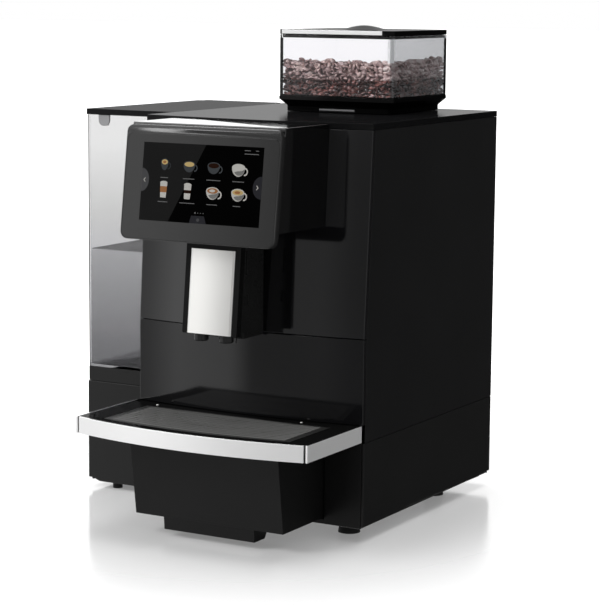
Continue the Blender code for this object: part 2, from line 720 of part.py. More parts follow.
def rear_panel():
    low_x = MAIN_LEFT + SIDE_THICKNESS + SEAT_GAP
    high_x = RIGHT - SKIRT_THICKNESS - SEAT_GAP
    outer = rectangle(low_x, high_x, GROUND_CLEARANCE, COVER_UNDER - SEAT_GAP)
    holes = []
    for column in range(LOUVRE_COLUMNS):
        x = MAIN_MIDDLE + (column - (LOUVRE_COLUMNS - 1) / 2) * LOUVRE_SPREAD
        for row in range(LOUVRE_ROWS):
            z = COVER_UNDER - LOUVRE_DROP - row * LOUVRE_PITCH
            holes.append(rounded_rectangle(x - LOUVRE_LENGTH / 2, x + LOUVRE_LENGTH / 2,
                                           z - LOUVRE_HEIGHT / 2, z + LOUVRE_HEIGHT / 2,
                                           LOUVRE_HEIGHT / 2 - SEAT_GAP, 1))
    inlet_x, switch_z = inlet_place()
    half = INLET_WIDTH / 2 + SEAT_GAP
    tall = INLET_TALL / 2 + SEAT_GAP
    holes.append(rectangle(inlet_x - half, inlet_x + half, INLET_HEIGHT - tall, INLET_HEIGHT + tall))
    half = ROCKER_WIDTH / 2 + ROCKER_CLEARANCE
    tall = ROCKER_TALL / 2 + ROCKER_CLEARANCE
    holes.append(rectangle(inlet_x - half, inlet_x + half, switch_z - tall, switch_z + tall))
    keep(slab("rear_panel", [outer] + holes, BACK - SIDE_THICKNESS, BACK, "Y"), "black_satin")


def inlet_place():
    return RIGHT - INLET_X_FROM_RIGHT, INLET_HEIGHT + SWITCH_DROP


def rocker_y():
    # Deep enough for its tilted end to stay flush with the back.
    tilt = math.radians(ROCKER_TILT_DEGREES)
    return BACK - ROCKER_DEPTH / 2 * math.cos(tilt) - ROCKER_TALL / 2 * math.sin(tilt)


def power_entry():
    inlet_x, switch_z = inlet_place()
    back = BACK - SEAT_GAP
    front = back - INLET_DEPTH
    half = INLET_WIDTH / 2
    tall = INLET_TALL / 2
    shell = box("power_inlet", (inlet_x - half, front, INLET_HEIGHT - tall),
                (inlet_x + half, back, INLET_HEIGHT + tall))
    flange = box("inlet_flange", (inlet_x - half - INLET_FLANGE, front, INLET_HEIGHT - tall - INLET_FLANGE),
                 (inlet_x + half + INLET_FLANGE, BACK - SIDE_THICKNESS - SEAT_GAP,
                  INLET_HEIGHT + tall + INLET_FLANGE))
    wall = INLET_WALL
    pocket = box("inlet_pocket", (inlet_x - half + wall, front + wall, INLET_HEIGHT - tall + wall),
                 (inlet_x + half - wall, back + OVERRUN, INLET_HEIGHT + tall - wall))
    cut(fuse(shell, flange), pocket)
    for place in range(3):
        x = inlet_x + (place - 1) * PIN_SPACING
        pin = box("inlet_pin", (x - PIN_WIDTH / 2, front + wall - SEAT_GAP, INLET_HEIGHT - PIN_WIDTH),
                  (x + PIN_WIDTH / 2, front + wall + PIN_LENGTH, INLET_HEIGHT + PIN_WIDTH))
        fuse(shell, pin)
    keep(shell, "black_matte")

    rocker = box("power_rocker", (-ROCKER_WIDTH / 2, -ROCKER_DEPTH / 2, -ROCKER_TALL / 2),
                 (ROCKER_WIDTH / 2, ROCKER_DEPTH / 2, ROCKER_TALL / 2))
    rocker.location = (inlet_x, rocker_y(), switch_z)
    rocker.rotation_euler = (math.radians(-ROCKER_TILT_DEGREES), 0, 0)
    keep(round_edges(rocker, ROCKER_CLEARANCE / 2), "black_matte")

    # The switch frame holds the rocker on two cheeks behind the panel.
    reach = ROCKER_TALL / 2 + 2 * ROCKER_CLEARANCE
    side = ROCKER_WIDTH / 2 + 2 * ROCKER_CLEARANCE
    depth = BACK - SIDE_THICKNESS - SEAT_GAP
    frame = box("switch_frame", (inlet_x - side, depth - ROCKER_DEPTH, switch_z - reach),
                (inlet_x + side, depth, switch_z + reach))
    room = box("switch_room", (inlet_x - ROCKER_WIDTH / 2 - SEAT_GAP, depth - 2 * ROCKER_DEPTH,
                               switch_z - ROCKER_TALL / 2 - ROCKER_CLEARANCE),
               (inlet_x + ROCKER_WIDTH / 2 + SEAT_GAP, depth + OVERRUN,
                switch_z + ROCKER_TALL / 2 + ROCKER_CLEARANCE))
    keep(cut(frame, room), "black_matte")


def base_pan():
    left = LEFT + SKIRT_THICKNESS + SEAT_GAP
    step = MAIN_LEFT - SEAT_GAP
    inner = MAIN_LEFT + SIDE_THICKNESS + SEAT_GAP
    high_x = RIGHT - SKIRT_THICKNESS - SEAT_GAP
    main_front = SEAM_Y + SKIRT_FRONT_INSET + SKIRT_THICKNESS + SEAT_GAP
    column_front = COLUMN_FRONT + SKIRT_THICKNESS + SEAT_GAP
    column_back = BACK - SKIRT_THICKNESS - SEAT_GAP
    main_back = BACK - SIDE_THICKNESS - SEAT_GAP
    main = slab("base_pan", [rectangle(inner, high_x, main_front, main_back)], PAN_BOTTOM, PAN_TOP)
    keep(main, "black_matte")
    side = slab("column_pan", [rectangle(left, step, column_front, column_back)], PAN_BOTTOM, PAN_TOP)
    keep(side, "black_matte")


def foot_places():
    rear = BACK - FOOT_INSET_BACK
    front = SEAM_Y + FOOT_INSET_FRONT
    column_x = LEFT + COLUMN_FOOT_INSET_X
    return {
        "foot_front_left": (MAIN_LEFT + FOOT_INSET_X, front, FOOT_RADIUS, FOOT_TOP_RADIUS),
        "foot_front_right": (RIGHT - FOOT_INSET_X, front, FOOT_RADIUS, FOOT_TOP_RADIUS),
        "foot_rear_left": (MAIN_LEFT + FOOT_INSET_X, rear, FOOT_RADIUS, FOOT_TOP_RADIUS),
        "foot_rear_right": (RIGHT - FOOT_INSET_X, rear, FOOT_RADIUS, FOOT_TOP_RADIUS),
        "foot_column_front": (column_x, COLUMN_FRONT + COLUMN_FOOT_INSET_Y, COLUMN_FOOT_RADIUS,
                              COLUMN_FOOT_RADIUS),
        "foot_column_rear": (column_x, rear, COLUMN_FOOT_RADIUS, COLUMN_FOOT_RADIUS),
    }


def feet():
    for name, (x, y, radius, top_radius) in foot_places().items():
        keep(rod(name, radius, (x, y, 0), (x, y, PAN_BOTTOM - SEAT_GAP), end_radius=top_radius), "rubber")


def equipment_shelf():
    low_x = MAIN_LEFT + SIDE_THICKNESS + SEAT_GAP
    high_x = RIGHT - SIDE_THICKNESS - SEAT_GAP
    riser_x = MAIN_LEFT + PIPE_RISER_FROM_MAIN_LEFT
    chute_y = SEAM_Y + BREW_FRONT + BREW_DEPTH / 2
    rings = [rectangle(low_x, high_x, SEAM_Y + SHELF_FRONT_INSET, BACK - SIDE_THICKNESS - SEAT_GAP),
             rectangle(MAIN_MIDDLE - CHUTE_WIDTH / 2, MAIN_MIDDLE + CHUTE_WIDTH / 2,
                       chute_y - CHUTE_DEPTH / 2, chute_y + CHUTE_DEPTH / 2),
             circle(riser_x, pipe_y(), PIPE_RADIUS + SEAT_GAP, 16)]
    keep(slab("equipment_shelf", rings, SHELF_BOTTOM, SHELF_TOP), "steel")


def top_cover():
    corner = SEAM_Y + PANEL_LEAN
    face = bowed_row(MAIN_LEFT + SEAT_GAP, RIGHT, corner, MAIN_WIDTH / 2, PANEL_BOW)
    outline = face + [(RIGHT, BACK), (MAIN_LEFT + SEAT_GAP, BACK)]
    throat = circle(HOPPER_X, HOPPER_Y, THROAT_RADIUS + THROAT_WALL + SLIDE_GAP)
    cover = slab("top_cover", [outline, throat], COVER_UNDER, BODY_HEIGHT)
    keep(round_edges(cover, COVER_EDGE_RADIUS, 1, 60), "black_satin")


def tilted_frame(piece, tilt, bottom_y, bottom_z):
    # Stands a plate that was drawn flat in X and Z on its lower front edge and tilts it back.
    piece.data.transform(Matrix.Translation((0, bottom_y, bottom_z)) @ Matrix.Rotation(-tilt, 4, "X"))
    return piece


def screen_plate(name, x_margin, low, height, radius, front, thickness):
    # A rounded plate in the screen's own plane; low and front are measured in that plane.
    half = SCREEN_WIDTH / 2 - x_margin
    ring = rounded_rectangle(MAIN_MIDDLE - half, MAIN_MIDDLE + half, low, low + height, radius)
    plate = slab(name, [ring], front, front + thickness, "Y")
    plate.data.transform(Matrix.Translation(plate.location))
    plate.location = (0, 0, 0)
    return plate


def above_rounding(height):
    # What lies above the bezel's rounded top front edge, drawn in the screen's own plane.
    radius = BEZEL_TOP_RADIUS
    middle = radius - SEAT_GAP / 6
    view = [(-OVERRUN, height - middle), (-OVERRUN, height + OVERRUN), (middle, height + OVERRUN)]
    for step in range(7):
        angle = math.pi / 2 + step / 6 * math.pi / 2
        view.append((middle + radius * math.cos(angle), height - middle + radius * math.sin(angle)))
    half = SCREEN_WIDTH / 2 + OVERRUN
    cutter = slab("above_rounding", [view], MAIN_MIDDLE - half, MAIN_MIDDLE + half, "X")
    cutter.data.transform(Matrix.Translation(cutter.location))
    cutter.location = (0, 0, 0)
    return cutter


def screen_module():
    bottom_y = SEAM_Y - SCREEN_FRONT_AT_BOTTOM
    full_height = SCREEN_HEIGHT / math.cos(SCREEN_TILT) - BEZEL_THICKNESS * math.tan(SCREEN_TILT)
    bezel = screen_plate("screen_bezel", 0, 0, full_height, SCREEN_CORNER_RADIUS, 0, BEZEL_THICKNESS)
    tilted_frame(bezel, SCREEN_TILT, bottom_y, SCREEN_BOTTOM)
    cut(bezel, tilted_frame(above_rounding(full_height), SCREEN_TILT, bottom_y, SCREEN_BOTTOM))
    round_edges(bezel, BEZEL_EDGE_RADIUS, 2, 60)
    seat = screen_plate("glass_seat", GLASS_BORDER - SEAT_GAP, GLASS_BORDER - SEAT_GAP,
                        GLASS_HEIGHT - GLASS_BORDER + 2 * SEAT_GAP,
                        SCREEN_CORNER_RADIUS - GLASS_BORDER, -OVERRUN,
                        GLASS_THICKNESS + SEAT_GAP + OVERRUN)
    tilted_frame(seat, SCREEN_TILT, bottom_y, SCREEN_BOTTOM)
    glass = screen_plate("screen_glass", GLASS_BORDER, GLASS_BORDER, GLASS_HEIGHT - GLASS_BORDER,
                         SCREEN_CORNER_RADIUS - GLASS_BORDER, 0, GLASS_THICKNESS)
    tilted_frame(glass, SCREEN_TILT, bottom_y, SCREEN_BOTTOM)
    keep(glass, "glass")
    side = (SCREEN_WIDTH - DISPLAY_WIDTH) / 2
    rise = (GLASS_HEIGHT - DISPLAY_HEIGHT) / 2
    front = GLASS_THICKNESS + SEAT_GAP
    well = screen_plate("display_well", side - SEAT_GAP, rise - SEAT_GAP, DISPLAY_HEIGHT + 2 * SEAT_GAP,
                        GLASS_BORDER, 0, front + DISPLAY_THICKNESS + SEAT_GAP)
    tilted_frame(well, SCREEN_TILT, bottom_y, SCREEN_BOTTOM)
    cut(bezel, seat, well)
    keep(bezel, "black_gloss")
    display = screen_plate("display_panel", side, rise, DISPLAY_HEIGHT, GLASS_BORDER, front, DISPLAY_THICKNESS)
    tilted_frame(display, SCREEN_TILT, bottom_y, SCREEN_BOTTOM)
    keep(display, "display")

    # The housing behind the bezel: its front follows the tilt, its back the bowed leaning panel.
    slope = math.tan(SCREEN_TILT)
    behind = BEZEL_THICKNESS / math.cos(SCREEN_TILT) + SEAT_GAP
    low_y = bottom_y + behind + (HOUSING_BOTTOM - SCREEN_BOTTOM) * slope
    high_y = bottom_y + behind + (SCREEN_TOP - SCREEN_BOTTOM) * slope
    back_y = SEAM_Y + PANEL_LEAN
    side_view = [(low_y, HOUSING_BOTTOM), (back_y, HOUSING_BOTTOM), (back_y, SCREEN_TOP), (high_y, SCREEN_TOP)]
    half = SCREEN_WIDTH / 2 - HOUSING_SIDE_INSET
    housing = slab("screen_housing", [side_view], MAIN_MIDDLE - half, MAIN_MIDDLE + half, "X")
    pocket = box("carriage_pocket", (MAIN_MIDDLE - POCKET_HALF_WIDTH, SEAM_Y - POCKET_FRONT,
                                     HOUSING_BOTTOM - OVERRUN),
                 (MAIN_MIDDLE + POCKET_HALF_WIDTH, back_y + OVERRUN, POCKET_TOP))
    behind_cover = behind_bow("behind_cover", SEAM_Y + PANEL_LEAN, COVER_UNDER - SEAT_GAP, BODY_HEIGHT)
    keep(cut(housing, pocket, behind_upper_panel("behind_panel"), behind_cover), "black_gloss")


def spout():
    bottom_y = SEAM_Y - SPOUT_FRONT_AT_BOTTOM
    half = SPOUT_PLATE_HALF_WIDTH
    radius = SPOUT_PLATE_ROUNDING
    ring = [(MAIN_MIDDLE + half, SPOUT_PLATE_THICKNESS), (MAIN_MIDDLE - half, SPOUT_PLATE_THICKNESS)]
    for side, turn in ((-1, math.pi), (1, math.pi * 3 / 2)):
        for step in range(5):
            angle = turn + step / 4 * math.pi / 2
            ring.append((MAIN_MIDDLE + side * (half - radius) + radius * math.cos(angle),
                         radius + radius * math.sin(angle)))
    plate = slab("spout_plate", [ring], 0, SPOUT_PLATE_HEIGHT)
    plate.data.transform(Matrix.Translation(plate.location))
    plate.location = (0, 0, 0)
    tilted_frame(plate, SPOUT_TILT, bottom_y, SPOUT_PLATE_BOTTOM)
    keep(plate, "steel")

    half = SPOUT_PLATE_HALF_WIDTH + BEZEL_SIDE_MARGIN
    low = -BEZEL_BOTTOM_MARGIN
    high = SPOUT_PLATE_HEIGHT + BEZEL_TOP_MARGIN
    ring = rounded_rectangle(MAIN_MIDDLE - half, MAIN_MIDDLE + half, low, high, SPOUT_PLATE_CORNER, 2)
    bezel = slab("spout_bezel", [ring], PLATE_PROUD, PLATE_PROUD + SPOUT_BEZEL_THICKNESS, "Y")
    bezel.data.transform(Matrix.Translation(bezel.location))
    bezel.location = (0, 0, 0)
    tilted_frame(bezel, SPOUT_TILT, bottom_y, SPOUT_PLATE_BOTTOM)
    half = SPOUT_PLATE_HALF_WIDTH + SEAT_GAP
    seat_ring = rectangle(MAIN_MIDDLE - half, MAIN_MIDDLE + half, -OVERRUN, SPOUT_PLATE_HEIGHT + SEAT_GAP)
    seat = slab("plate_seat", [seat_ring], -OVERRUN, SPOUT_PLATE_THICKNESS + SEAT_GAP, "Y")
    seat.data.transform(Matrix.Translation(seat.location))
    seat.location = (0, 0, 0)
    tilted_frame(seat, SPOUT_TILT, bottom_y, SPOUT_PLATE_BOTTOM)
    keep(cut(bezel, seat, *nozzle_sockets()), "black_matte")
    carriage()
    nozzles()


def bezel_back_y(z):
    rise = z - SPOUT_PLATE_BOTTOM
    depth = (PLATE_PROUD + SPOUT_BEZEL_THICKNESS) / math.cos(SPOUT_TILT) + SEAT_GAP
    return SEAM_Y - SPOUT_FRONT_AT_BOTTOM + depth + rise * math.tan(SPOUT_TILT)


def carriage():
    # Sliding body behind the bezel, open at its back and top for the guide rail.
    back = SEAM_Y - CARRIAGE_BACK
    step = SEAM_Y - CARRIAGE_STEP
    view = [(bezel_back_y(CARRIAGE_FRONT_BOTTOM), CARRIAGE_FRONT_BOTTOM), (step, CARRIAGE_FRONT_BOTTOM),
            (step, CARRIAGE_BOTTOM), (back, CARRIAGE_BOTTOM), (back, CARRIAGE_TOP),
            (bezel_back_y(CARRIAGE_TOP), CARRIAGE_TOP)]
    half = CARRIAGE_HALF_WIDTH
    body = slab("spout_carriage", [view], MAIN_MIDDLE - half, MAIN_MIDDLE + half, "X")
    channel = box("guide_channel",
                  (MAIN_MIDDLE - GUIDE_HALF_WIDTH - SEAT_GAP, SEAM_Y - CARRIAGE_BACK - GUIDE_DEPTH,
                   CARRIAGE_BOTTOM + CARRIAGE_FLOOR),
                  (MAIN_MIDDLE + GUIDE_HALF_WIDTH + SEAT_GAP, back + OVERRUN, CARRIAGE_TOP + OVERRUN))
    cut(body, channel)
    for side in (-1, 1):
        face = MAIN_MIDDLE + side * half
        near = face - side * SIDE_RELIEF_DEPTH
        far = face + side * OVERRUN
        for label, width, tall, lift in (("slot", SIDE_SLOT_WIDTH, SIDE_SLOT_TALL, SIDE_SLOT_LIFT),
                                        ("notch", SIDE_NOTCH_WIDTH, SIDE_NOTCH_TALL, SIDE_NOTCH_LIFT)):
            middle = SEAM_Y - SIDE_SLOT_BACK
            low = CARRIAGE_BOTTOM + lift
            relief = box("side_" + label, (min(near, far), middle - width / 2, low),
                         (max(near, far), middle + width / 2, low + tall))
            cut(body, relief)
    cut(body, *nozzle_sockets())
    tip_x = MAIN_MIDDLE + TIP_OFFSET_X
    tip_y = SEAM_Y - TIP_FORWARD
    cut(body, rod("tip_socket", TIP_RADIUS + SEAT_GAP, (tip_x, tip_y, CARRIAGE_BOTTOM - OVERRUN),
                  (tip_x, tip_y, CARRIAGE_BOTTOM + CARRIAGE_FLOOR / 2)))
    keep(body, "black_satin")

    rail_back = SEAM_Y + PANEL_LEAN
    rail = box("spout_guide", (MAIN_MIDDLE - GUIDE_HALF_WIDTH,
                               SEAM_Y - CARRIAGE_BACK - GUIDE_DEPTH + SLIDE_GAP, GUIDE_BOTTOM),
               (MAIN_MIDDLE + GUIDE_HALF_WIDTH, rail_back, GUIDE_TOP))
    behind_lower_panel = behind_bow("behind_lower_panel", SEAM_Y, DECK_HEIGHT, SEAM_HEIGHT + SEAT_GAP)
    keep(cut(rail, behind_upper_panel("behind_guide"), behind_lower_panel), "black_matte")


def nozzle_places():
    return [MAIN_MIDDLE + side * NOZZLE_SPACING / 2 for side in (-1, 1)]


def nozzle_sockets():
    y = SEAM_Y - NOZZLE_FORWARD
    return [rod("nozzle_socket", NOZZLE_RADIUS + SEAT_GAP, (x, y, CARRIAGE_BOTTOM - OVERRUN),
                (x, y, CARRIAGE_FRONT_BOTTOM + NOZZLE_RADIUS)) for x in nozzle_places()]


def nozzles():
    top = CARRIAGE_FRONT_BOTTOM + NOZZLE_RADIUS - SEAT_GAP
    bottom = SPOUT_PLATE_BOTTOM - NOZZLE_DROP
    y = SEAM_Y - NOZZLE_FORWARD
    for name, x in zip(("nozzle_left", "nozzle_right"), nozzle_places()):
        profile = [(NOZZLE_BORE_RADIUS, top), (NOZZLE_RADIUS, top),
                   (NOZZLE_RADIUS, bottom + NOZZLE_CHAMFER),
                   (NOZZLE_RADIUS - NOZZLE_CHAMFER, bottom), (NOZZLE_BORE_RADIUS, bottom)]
        keep(turned(name, profile, (x, y, 0), 24, ring=True), "black_matte")
    top = CARRIAGE_BOTTOM + CARRIAGE_FLOOR / 2 - SEAT_GAP
    bottom = CARRIAGE_BOTTOM - TIP_DROP
    profile = [(TIP_BORE_RADIUS, top), (TIP_RADIUS, top), (TIP_RADIUS, bottom), (TIP_BORE_RADIUS, bottom)]
    place = (MAIN_MIDDLE + TIP_OFFSET_X, SEAM_Y - TIP_FORWARD, 0)
    keep(turned("hot_water_tip", profile, place, 12, ring=True), "steel")


def tray_edges():
    high_x = RIGHT - TRAY_SIDE_INSET
    return MAIN_LEFT - TRAY_LEFT_OVERHANG, high_x, high_x - MAIN_MIDDLE


def tray_trim():
    # Aluminium band: two side strips that reach the front, and a bowed strip between them.
    low_x, high_x, half = tray_edges()
    wall = TRIM_THICKNESS
    corner = SEAM_Y - TRAY_REACH
    bottom = DECK_HEIGHT - TRIM_HEIGHT
    end = wall + TRIM_JOINT
    face = bowed_row(low_x + end, high_x - end, corner, half, TRAY_BOW)
    inside = bowed_row(high_x - end, low_x + end, corner + wall, half, TRAY_BOW)
    keep(slab("trim_front", [face + inside], bottom, DECK_HEIGHT), "aluminium")
    back = SEAM_Y - SEAT_GAP
    for name, x in (("trim_left", low_x), ("trim_right", high_x - wall)):
        front = corner - bow_forward(x + wall / 2 - MAIN_MIDDLE, half, TRAY_BOW)
        keep(box(name, (x, front, bottom), (x + wall, back, DECK_HEIGHT)), "aluminium")


def grille_ring(margin, notched=False):
    half = tray_edges()[2]
    left = MAIN_MIDDLE - half + GRILLE_SIDE_MARGIN - margin
    right = MAIN_MIDDLE + half - GRILLE_SIDE_MARGIN + margin
    front = SEAM_Y - TRAY_REACH + GRILLE_FRONT_MARGIN - margin
    back = SEAM_Y - GRILLE_BACK_MARGIN + margin
    notch = []
    if notched:
        # Half-round finger notch near the right end of the back edge
        middle = right - GRILLE_FRAME - 2 * GRILLE_NOTCH_RADIUS
        for step in range(9):
            angle = step / 8 * math.pi
            notch.append((middle + GRILLE_NOTCH_RADIUS * math.cos(angle),
                          back - GRILLE_NOTCH_RADIUS * math.sin(angle)))
    return bowed_row(left, right, front, half, TRAY_BOW) + [(right, back)] + notch + [(left, back)]


def tray_deck():
    low_x, high_x, half = tray_edges()
    inset = TRIM_THICKNESS + SEAT_GAP
    corner = SEAM_Y - TRAY_REACH + inset
    face = bowed_row(low_x + inset, high_x - inset, corner, half, TRAY_BOW)
    rear = bowed_row(high_x - inset, low_x + inset, SEAM_Y + PANEL_RETURN, MAIN_WIDTH / 2, PANEL_BOW)
    top = DECK_HEIGHT
    deck = slab("tray_deck", [face + rear], top - DECK_SKIN, top)
    recess = slab("grille_recess", [grille_ring(SEAT_GAP)], top - GRILLE_RECESS, top + OVERRUN)
    drain_low = MAIN_MIDDLE - TUB_HALF_WIDTH + TUB_WALL + DRAIN_LEDGE
    drain_high = MAIN_MIDDLE + TUB_HALF_WIDTH - TUB_WALL - DRAIN_LEDGE
    drain_front = SEAM_Y - TUB_FRONT_BOTTOM
    drain_back = SEAM_Y - GRILLE_BACK_MARGIN - DRAIN_LEDGE
    drain = box("deck_drain", (drain_low, drain_front, top - DECK_SKIN - OVERRUN),
                (drain_high, drain_back, top))
    keep(cut(deck, recess, drain), "black_gloss")


def drip_grille():
    # Bowed frame with rows of long slots between its bars, and a finger notch in its back edge.
    half = tray_edges()[2]
    outer = grille_ring(0, notched=True)
    left = MAIN_MIDDLE - half + GRILLE_SIDE_MARGIN + GRILLE_FRAME
    right = MAIN_MIDDLE + half - GRILLE_SIDE_MARGIN - GRILLE_FRAME
    back = SEAM_Y - GRILLE_BACK_MARGIN - GRILLE_FRAME - GRILLE_NOTCH_RADIUS
    front = SEAM_Y - TRAY_REACH + GRILLE_FRONT_MARGIN + GRILLE_FRAME
    holes = []
    pitch = (back - front) / GRILLE_BARS
    field = (right - left) / GRILLE_FIELDS
    for row in range(GRILLE_BARS):
        low_y = front + row * pitch + GRILLE_BAR_WIDTH / 2
        for place in range(GRILLE_FIELDS):
            x = left + place * field
            holes.append(rectangle(x + GRILLE_RIB_WIDTH / 2, x + field - GRILLE_RIB_WIDTH / 2,
                                   low_y, low_y + pitch - GRILLE_BAR_WIDTH))
    top = DECK_HEIGHT - (GRILLE_RECESS - GRILLE_THICKNESS) / 2
    keep(slab("drip_grille", [outer] + holes, top - GRILLE_THICKNESS, top), "black_satin")


def tray_tub():
    # Water tub under the deck: leaning front, open top, and a low tongue in front of the machine.
    top = DECK_HEIGHT - DECK_SKIN - SEAT_GAP
    front_top = SEAM_Y - TUB_FRONT_TOP
    front_bottom = SEAM_Y - TUB_FRONT_BOTTOM
    back = SEAM_Y + TUB_LENGTH_BEHIND_SEAM
    low_back = SEAM_Y + BIN_FRONT_INSET - TUB_WALL - SEAT_GAP
    wall = TUB_WALL
    rear_top = TUB_BOTTOM + TUB_BACK_HEIGHT
    view = [(front_top, top), (front_bottom, TUB_BOTTOM), (back, TUB_BOTTOM), (back, rear_top),
            (low_back + wall, rear_top), (low_back + wall, top)]
    body = slab("tray_tub", [view], MAIN_MIDDLE - TUB_HALF_WIDTH, MAIN_MIDDLE + TUB_HALF_WIDTH, "X")
    tongue_view = [(front_bottom, TUB_BOTTOM + wall), (front_bottom + TONGUE_SLOPE / 8, TONGUE_BOTTOM),
                   (front_bottom + TONGUE_LENGTH, TONGUE_BOTTOM),
                   (front_bottom + TONGUE_LENGTH + TONGUE_SLOPE, TUB_BOTTOM + wall)]
    tongue = slab("tub_tongue", [tongue_view], MAIN_MIDDLE - TONGUE_HALF_WIDTH,
                  MAIN_MIDDLE + TONGUE_HALF_WIDTH, "X")
    lean = (front_bottom - front_top) / (top - TUB_BOTTOM)
    floor = TUB_BOTTOM + wall
    floor_front = front_bottom - lean * wall + wall
    roof_front = front_top + wall - lean * OVERRUN
    front_room = slab("tub_front_room", [[
        (roof_front, top + OVERRUN), (floor_front, floor), (low_back, floor), (low_back, top + OVERRUN)]],
        MAIN_MIDDLE - TUB_HALF_WIDTH + wall, MAIN_MIDDLE + TUB_HALF_WIDTH - wall, "X")
    rear_room = box("tub_rear_room", (MAIN_MIDDLE - TUB_HALF_WIDTH + wall, low_back + wall, floor),
                    (MAIN_MIDDLE + TUB_HALF_WIDTH - wall, back - wall, rear_top + OVERRUN))
    keep(cut(fuse(body, tongue), front_room, rear_room), "black_matte")


def grounds_bin():
    # Open bin for spent coffee, standing in the back of the tub and narrowing downwards.
    low_y = SEAM_Y + BIN_FRONT_INSET
    high_y = low_y + BIN_LENGTH
    floor = TUB_BOTTOM + TUB_WALL + SEAT_GAP
    mesh_box = box("grounds_bin", (MAIN_MIDDLE - BIN_HALF_WIDTH, low_y, floor),
                   (MAIN_MIDDLE + BIN_HALF_WIDTH, high_y, BIN_TOP))
    wall = BIN_WALL
    room = box("bin_room", (MAIN_MIDDLE - BIN_HALF_WIDTH + wall, low_y + wall, floor + wall),
               (MAIN_MIDDLE + BIN_HALF_WIDTH - wall, high_y - wall, BIN_TOP + OVERRUN))
    for piece in (mesh_box, room):
        for vertex in piece.data.vertices:
            if vertex.co.z < 0:
                vertex.co.x *= BIN_DRAFT_SHARE
                vertex.co.y *= BIN_DRAFT_SHARE
    keep(cut(mesh_box, room), "grey_plastic")


def runners():
    # Rails on the base pan that carry and guide the tub.
    front = SEAM_Y + RUNNER_INSET
    inner = TUB_HALF_WIDTH + SLIDE_GAP
    ledge_top = TUB_BOTTOM - SEAT_GAP
    for name, side in (("runner_left", -1), ("runner_right", 1)):
        view = [(MAIN_MIDDLE + side * (inner - RUNNER_LEDGE), PAN_TOP + SEAT_GAP),
                (MAIN_MIDDLE + side * (inner + RUNNER_THICKNESS), PAN_TOP + SEAT_GAP),
                (MAIN_MIDDLE + side * (inner + RUNNER_THICKNESS), PAN_TOP + RUNNER_HEIGHT),
                (MAIN_MIDDLE + side * inner, PAN_TOP + RUNNER_HEIGHT),
                (MAIN_MIDDLE + side * inner, ledge_top),
                (MAIN_MIDDLE + side * (inner - RUNNER_LEDGE), ledge_top)]
        keep(slab(name, [view], front, front + RUNNER_LENGTH, "Y"), "steel")


def valve_place():
    return (LEFT + MAIN_LEFT) / 2, BACK - VALVE_FROM_BACK


def tank_ledge():
    x, y = valve_place()
    ring = rectangle(LEFT + LEDGE_INSET, MAIN_LEFT - SEAT_GAP, COLUMN_FRONT + LEDGE_INSET, BACK)
    socket = circle(x, y, VALVE_RADIUS + VALVE_RUN_GAP)
    ledge = slab("tank_ledge", [ring, socket], COLUMN_SKIRT_TOP + SEAT_GAP, TANK_LEDGE_TOP)
    keep(ledge, "black_gloss")


def water_tank():
    low_x = LEFT + TANK_SIDE_INSET
    high_x = MAIN_LEFT - TANK_INNER_INSET
    low_y = COLUMN_FRONT + TANK_SIDE_INSET
    high_y = BACK - TANK_SIDE_INSET
    radius = TANK_CORNER_RADIUS
    wall = TANK_WALL
    tank = slab("water_tank", [rounded_rectangle(low_x, high_x, low_y, high_y, radius, 3)],
                TANK_FLOOR, TANK_TOP)
    room = slab("tank_room", [rounded_rectangle(low_x + wall, high_x - wall, low_y + wall, high_y - wall,
                                                radius - wall, 2)], TANK_FLOOR + wall, TANK_TOP + OVERRUN)
    x, y = valve_place()
    hole = rod("tank_valve_hole", VALVE_RADIUS + SEAT_GAP, (x, y, TANK_FLOOR - OVERRUN),
               (x, y, TANK_FLOOR + wall + OVERRUN))
    notch = slab("tab_notch", [tab_ring(TAB_CLEARANCE)], low_y - OVERRUN, low_y + wall + OVERRUN, "Y")
    cut(tank, room, hole, notch)
    # Two ears on the back wall carry the lid's pins.
    for name, x_from in (("ear_left", low_x), ("ear_right", high_x - LID_EAR_WIDTH)):
        ear = box(name, (x_from, BACK - LID_EAR_LENGTH, TANK_TOP - LID_EAR_LENGTH),
                  (x_from + LID_EAR_WIDTH, high_y, BODY_HEIGHT - TANK_SIDE_INSET))
        fuse(tank, ear)
    axis_y, axis_z = lid_axis()
    bore = rod("ear_bore", LID_BORE_RADIUS, (low_x - OVERRUN, axis_y, axis_z),
               (high_x + OVERRUN, axis_y, axis_z), "X", 12)
    cut(tank, bore)
    keep(tank, "smoke_clear")
    profile = [(VALVE_BORE_RADIUS, TANK_FLOOR + wall + SEAT_GAP + VALVE_FLANGE_HEIGHT),
               (VALVE_FLANGE_RADIUS, TANK_FLOOR + wall + SEAT_GAP + VALVE_FLANGE_HEIGHT),
               (VALVE_FLANGE_RADIUS, TANK_FLOOR + wall + SEAT_GAP),
               (VALVE_RADIUS, TANK_FLOOR + wall + SEAT_GAP),
               (VALVE_RADIUS, TANK_FLOOR - VALVE_DROP),
               (VALVE_BORE_RADIUS, TANK_FLOOR - VALVE_DROP)]
    keep(turned("tank_valve", profile, (x, y, 0), 24, ring=True), "grey_plastic")


def lid_axis():
    return BACK - COVER_THICKNESS / 2 - TANK_SIDE_INSET, COVER_UNDER + COVER_THICKNESS / 2


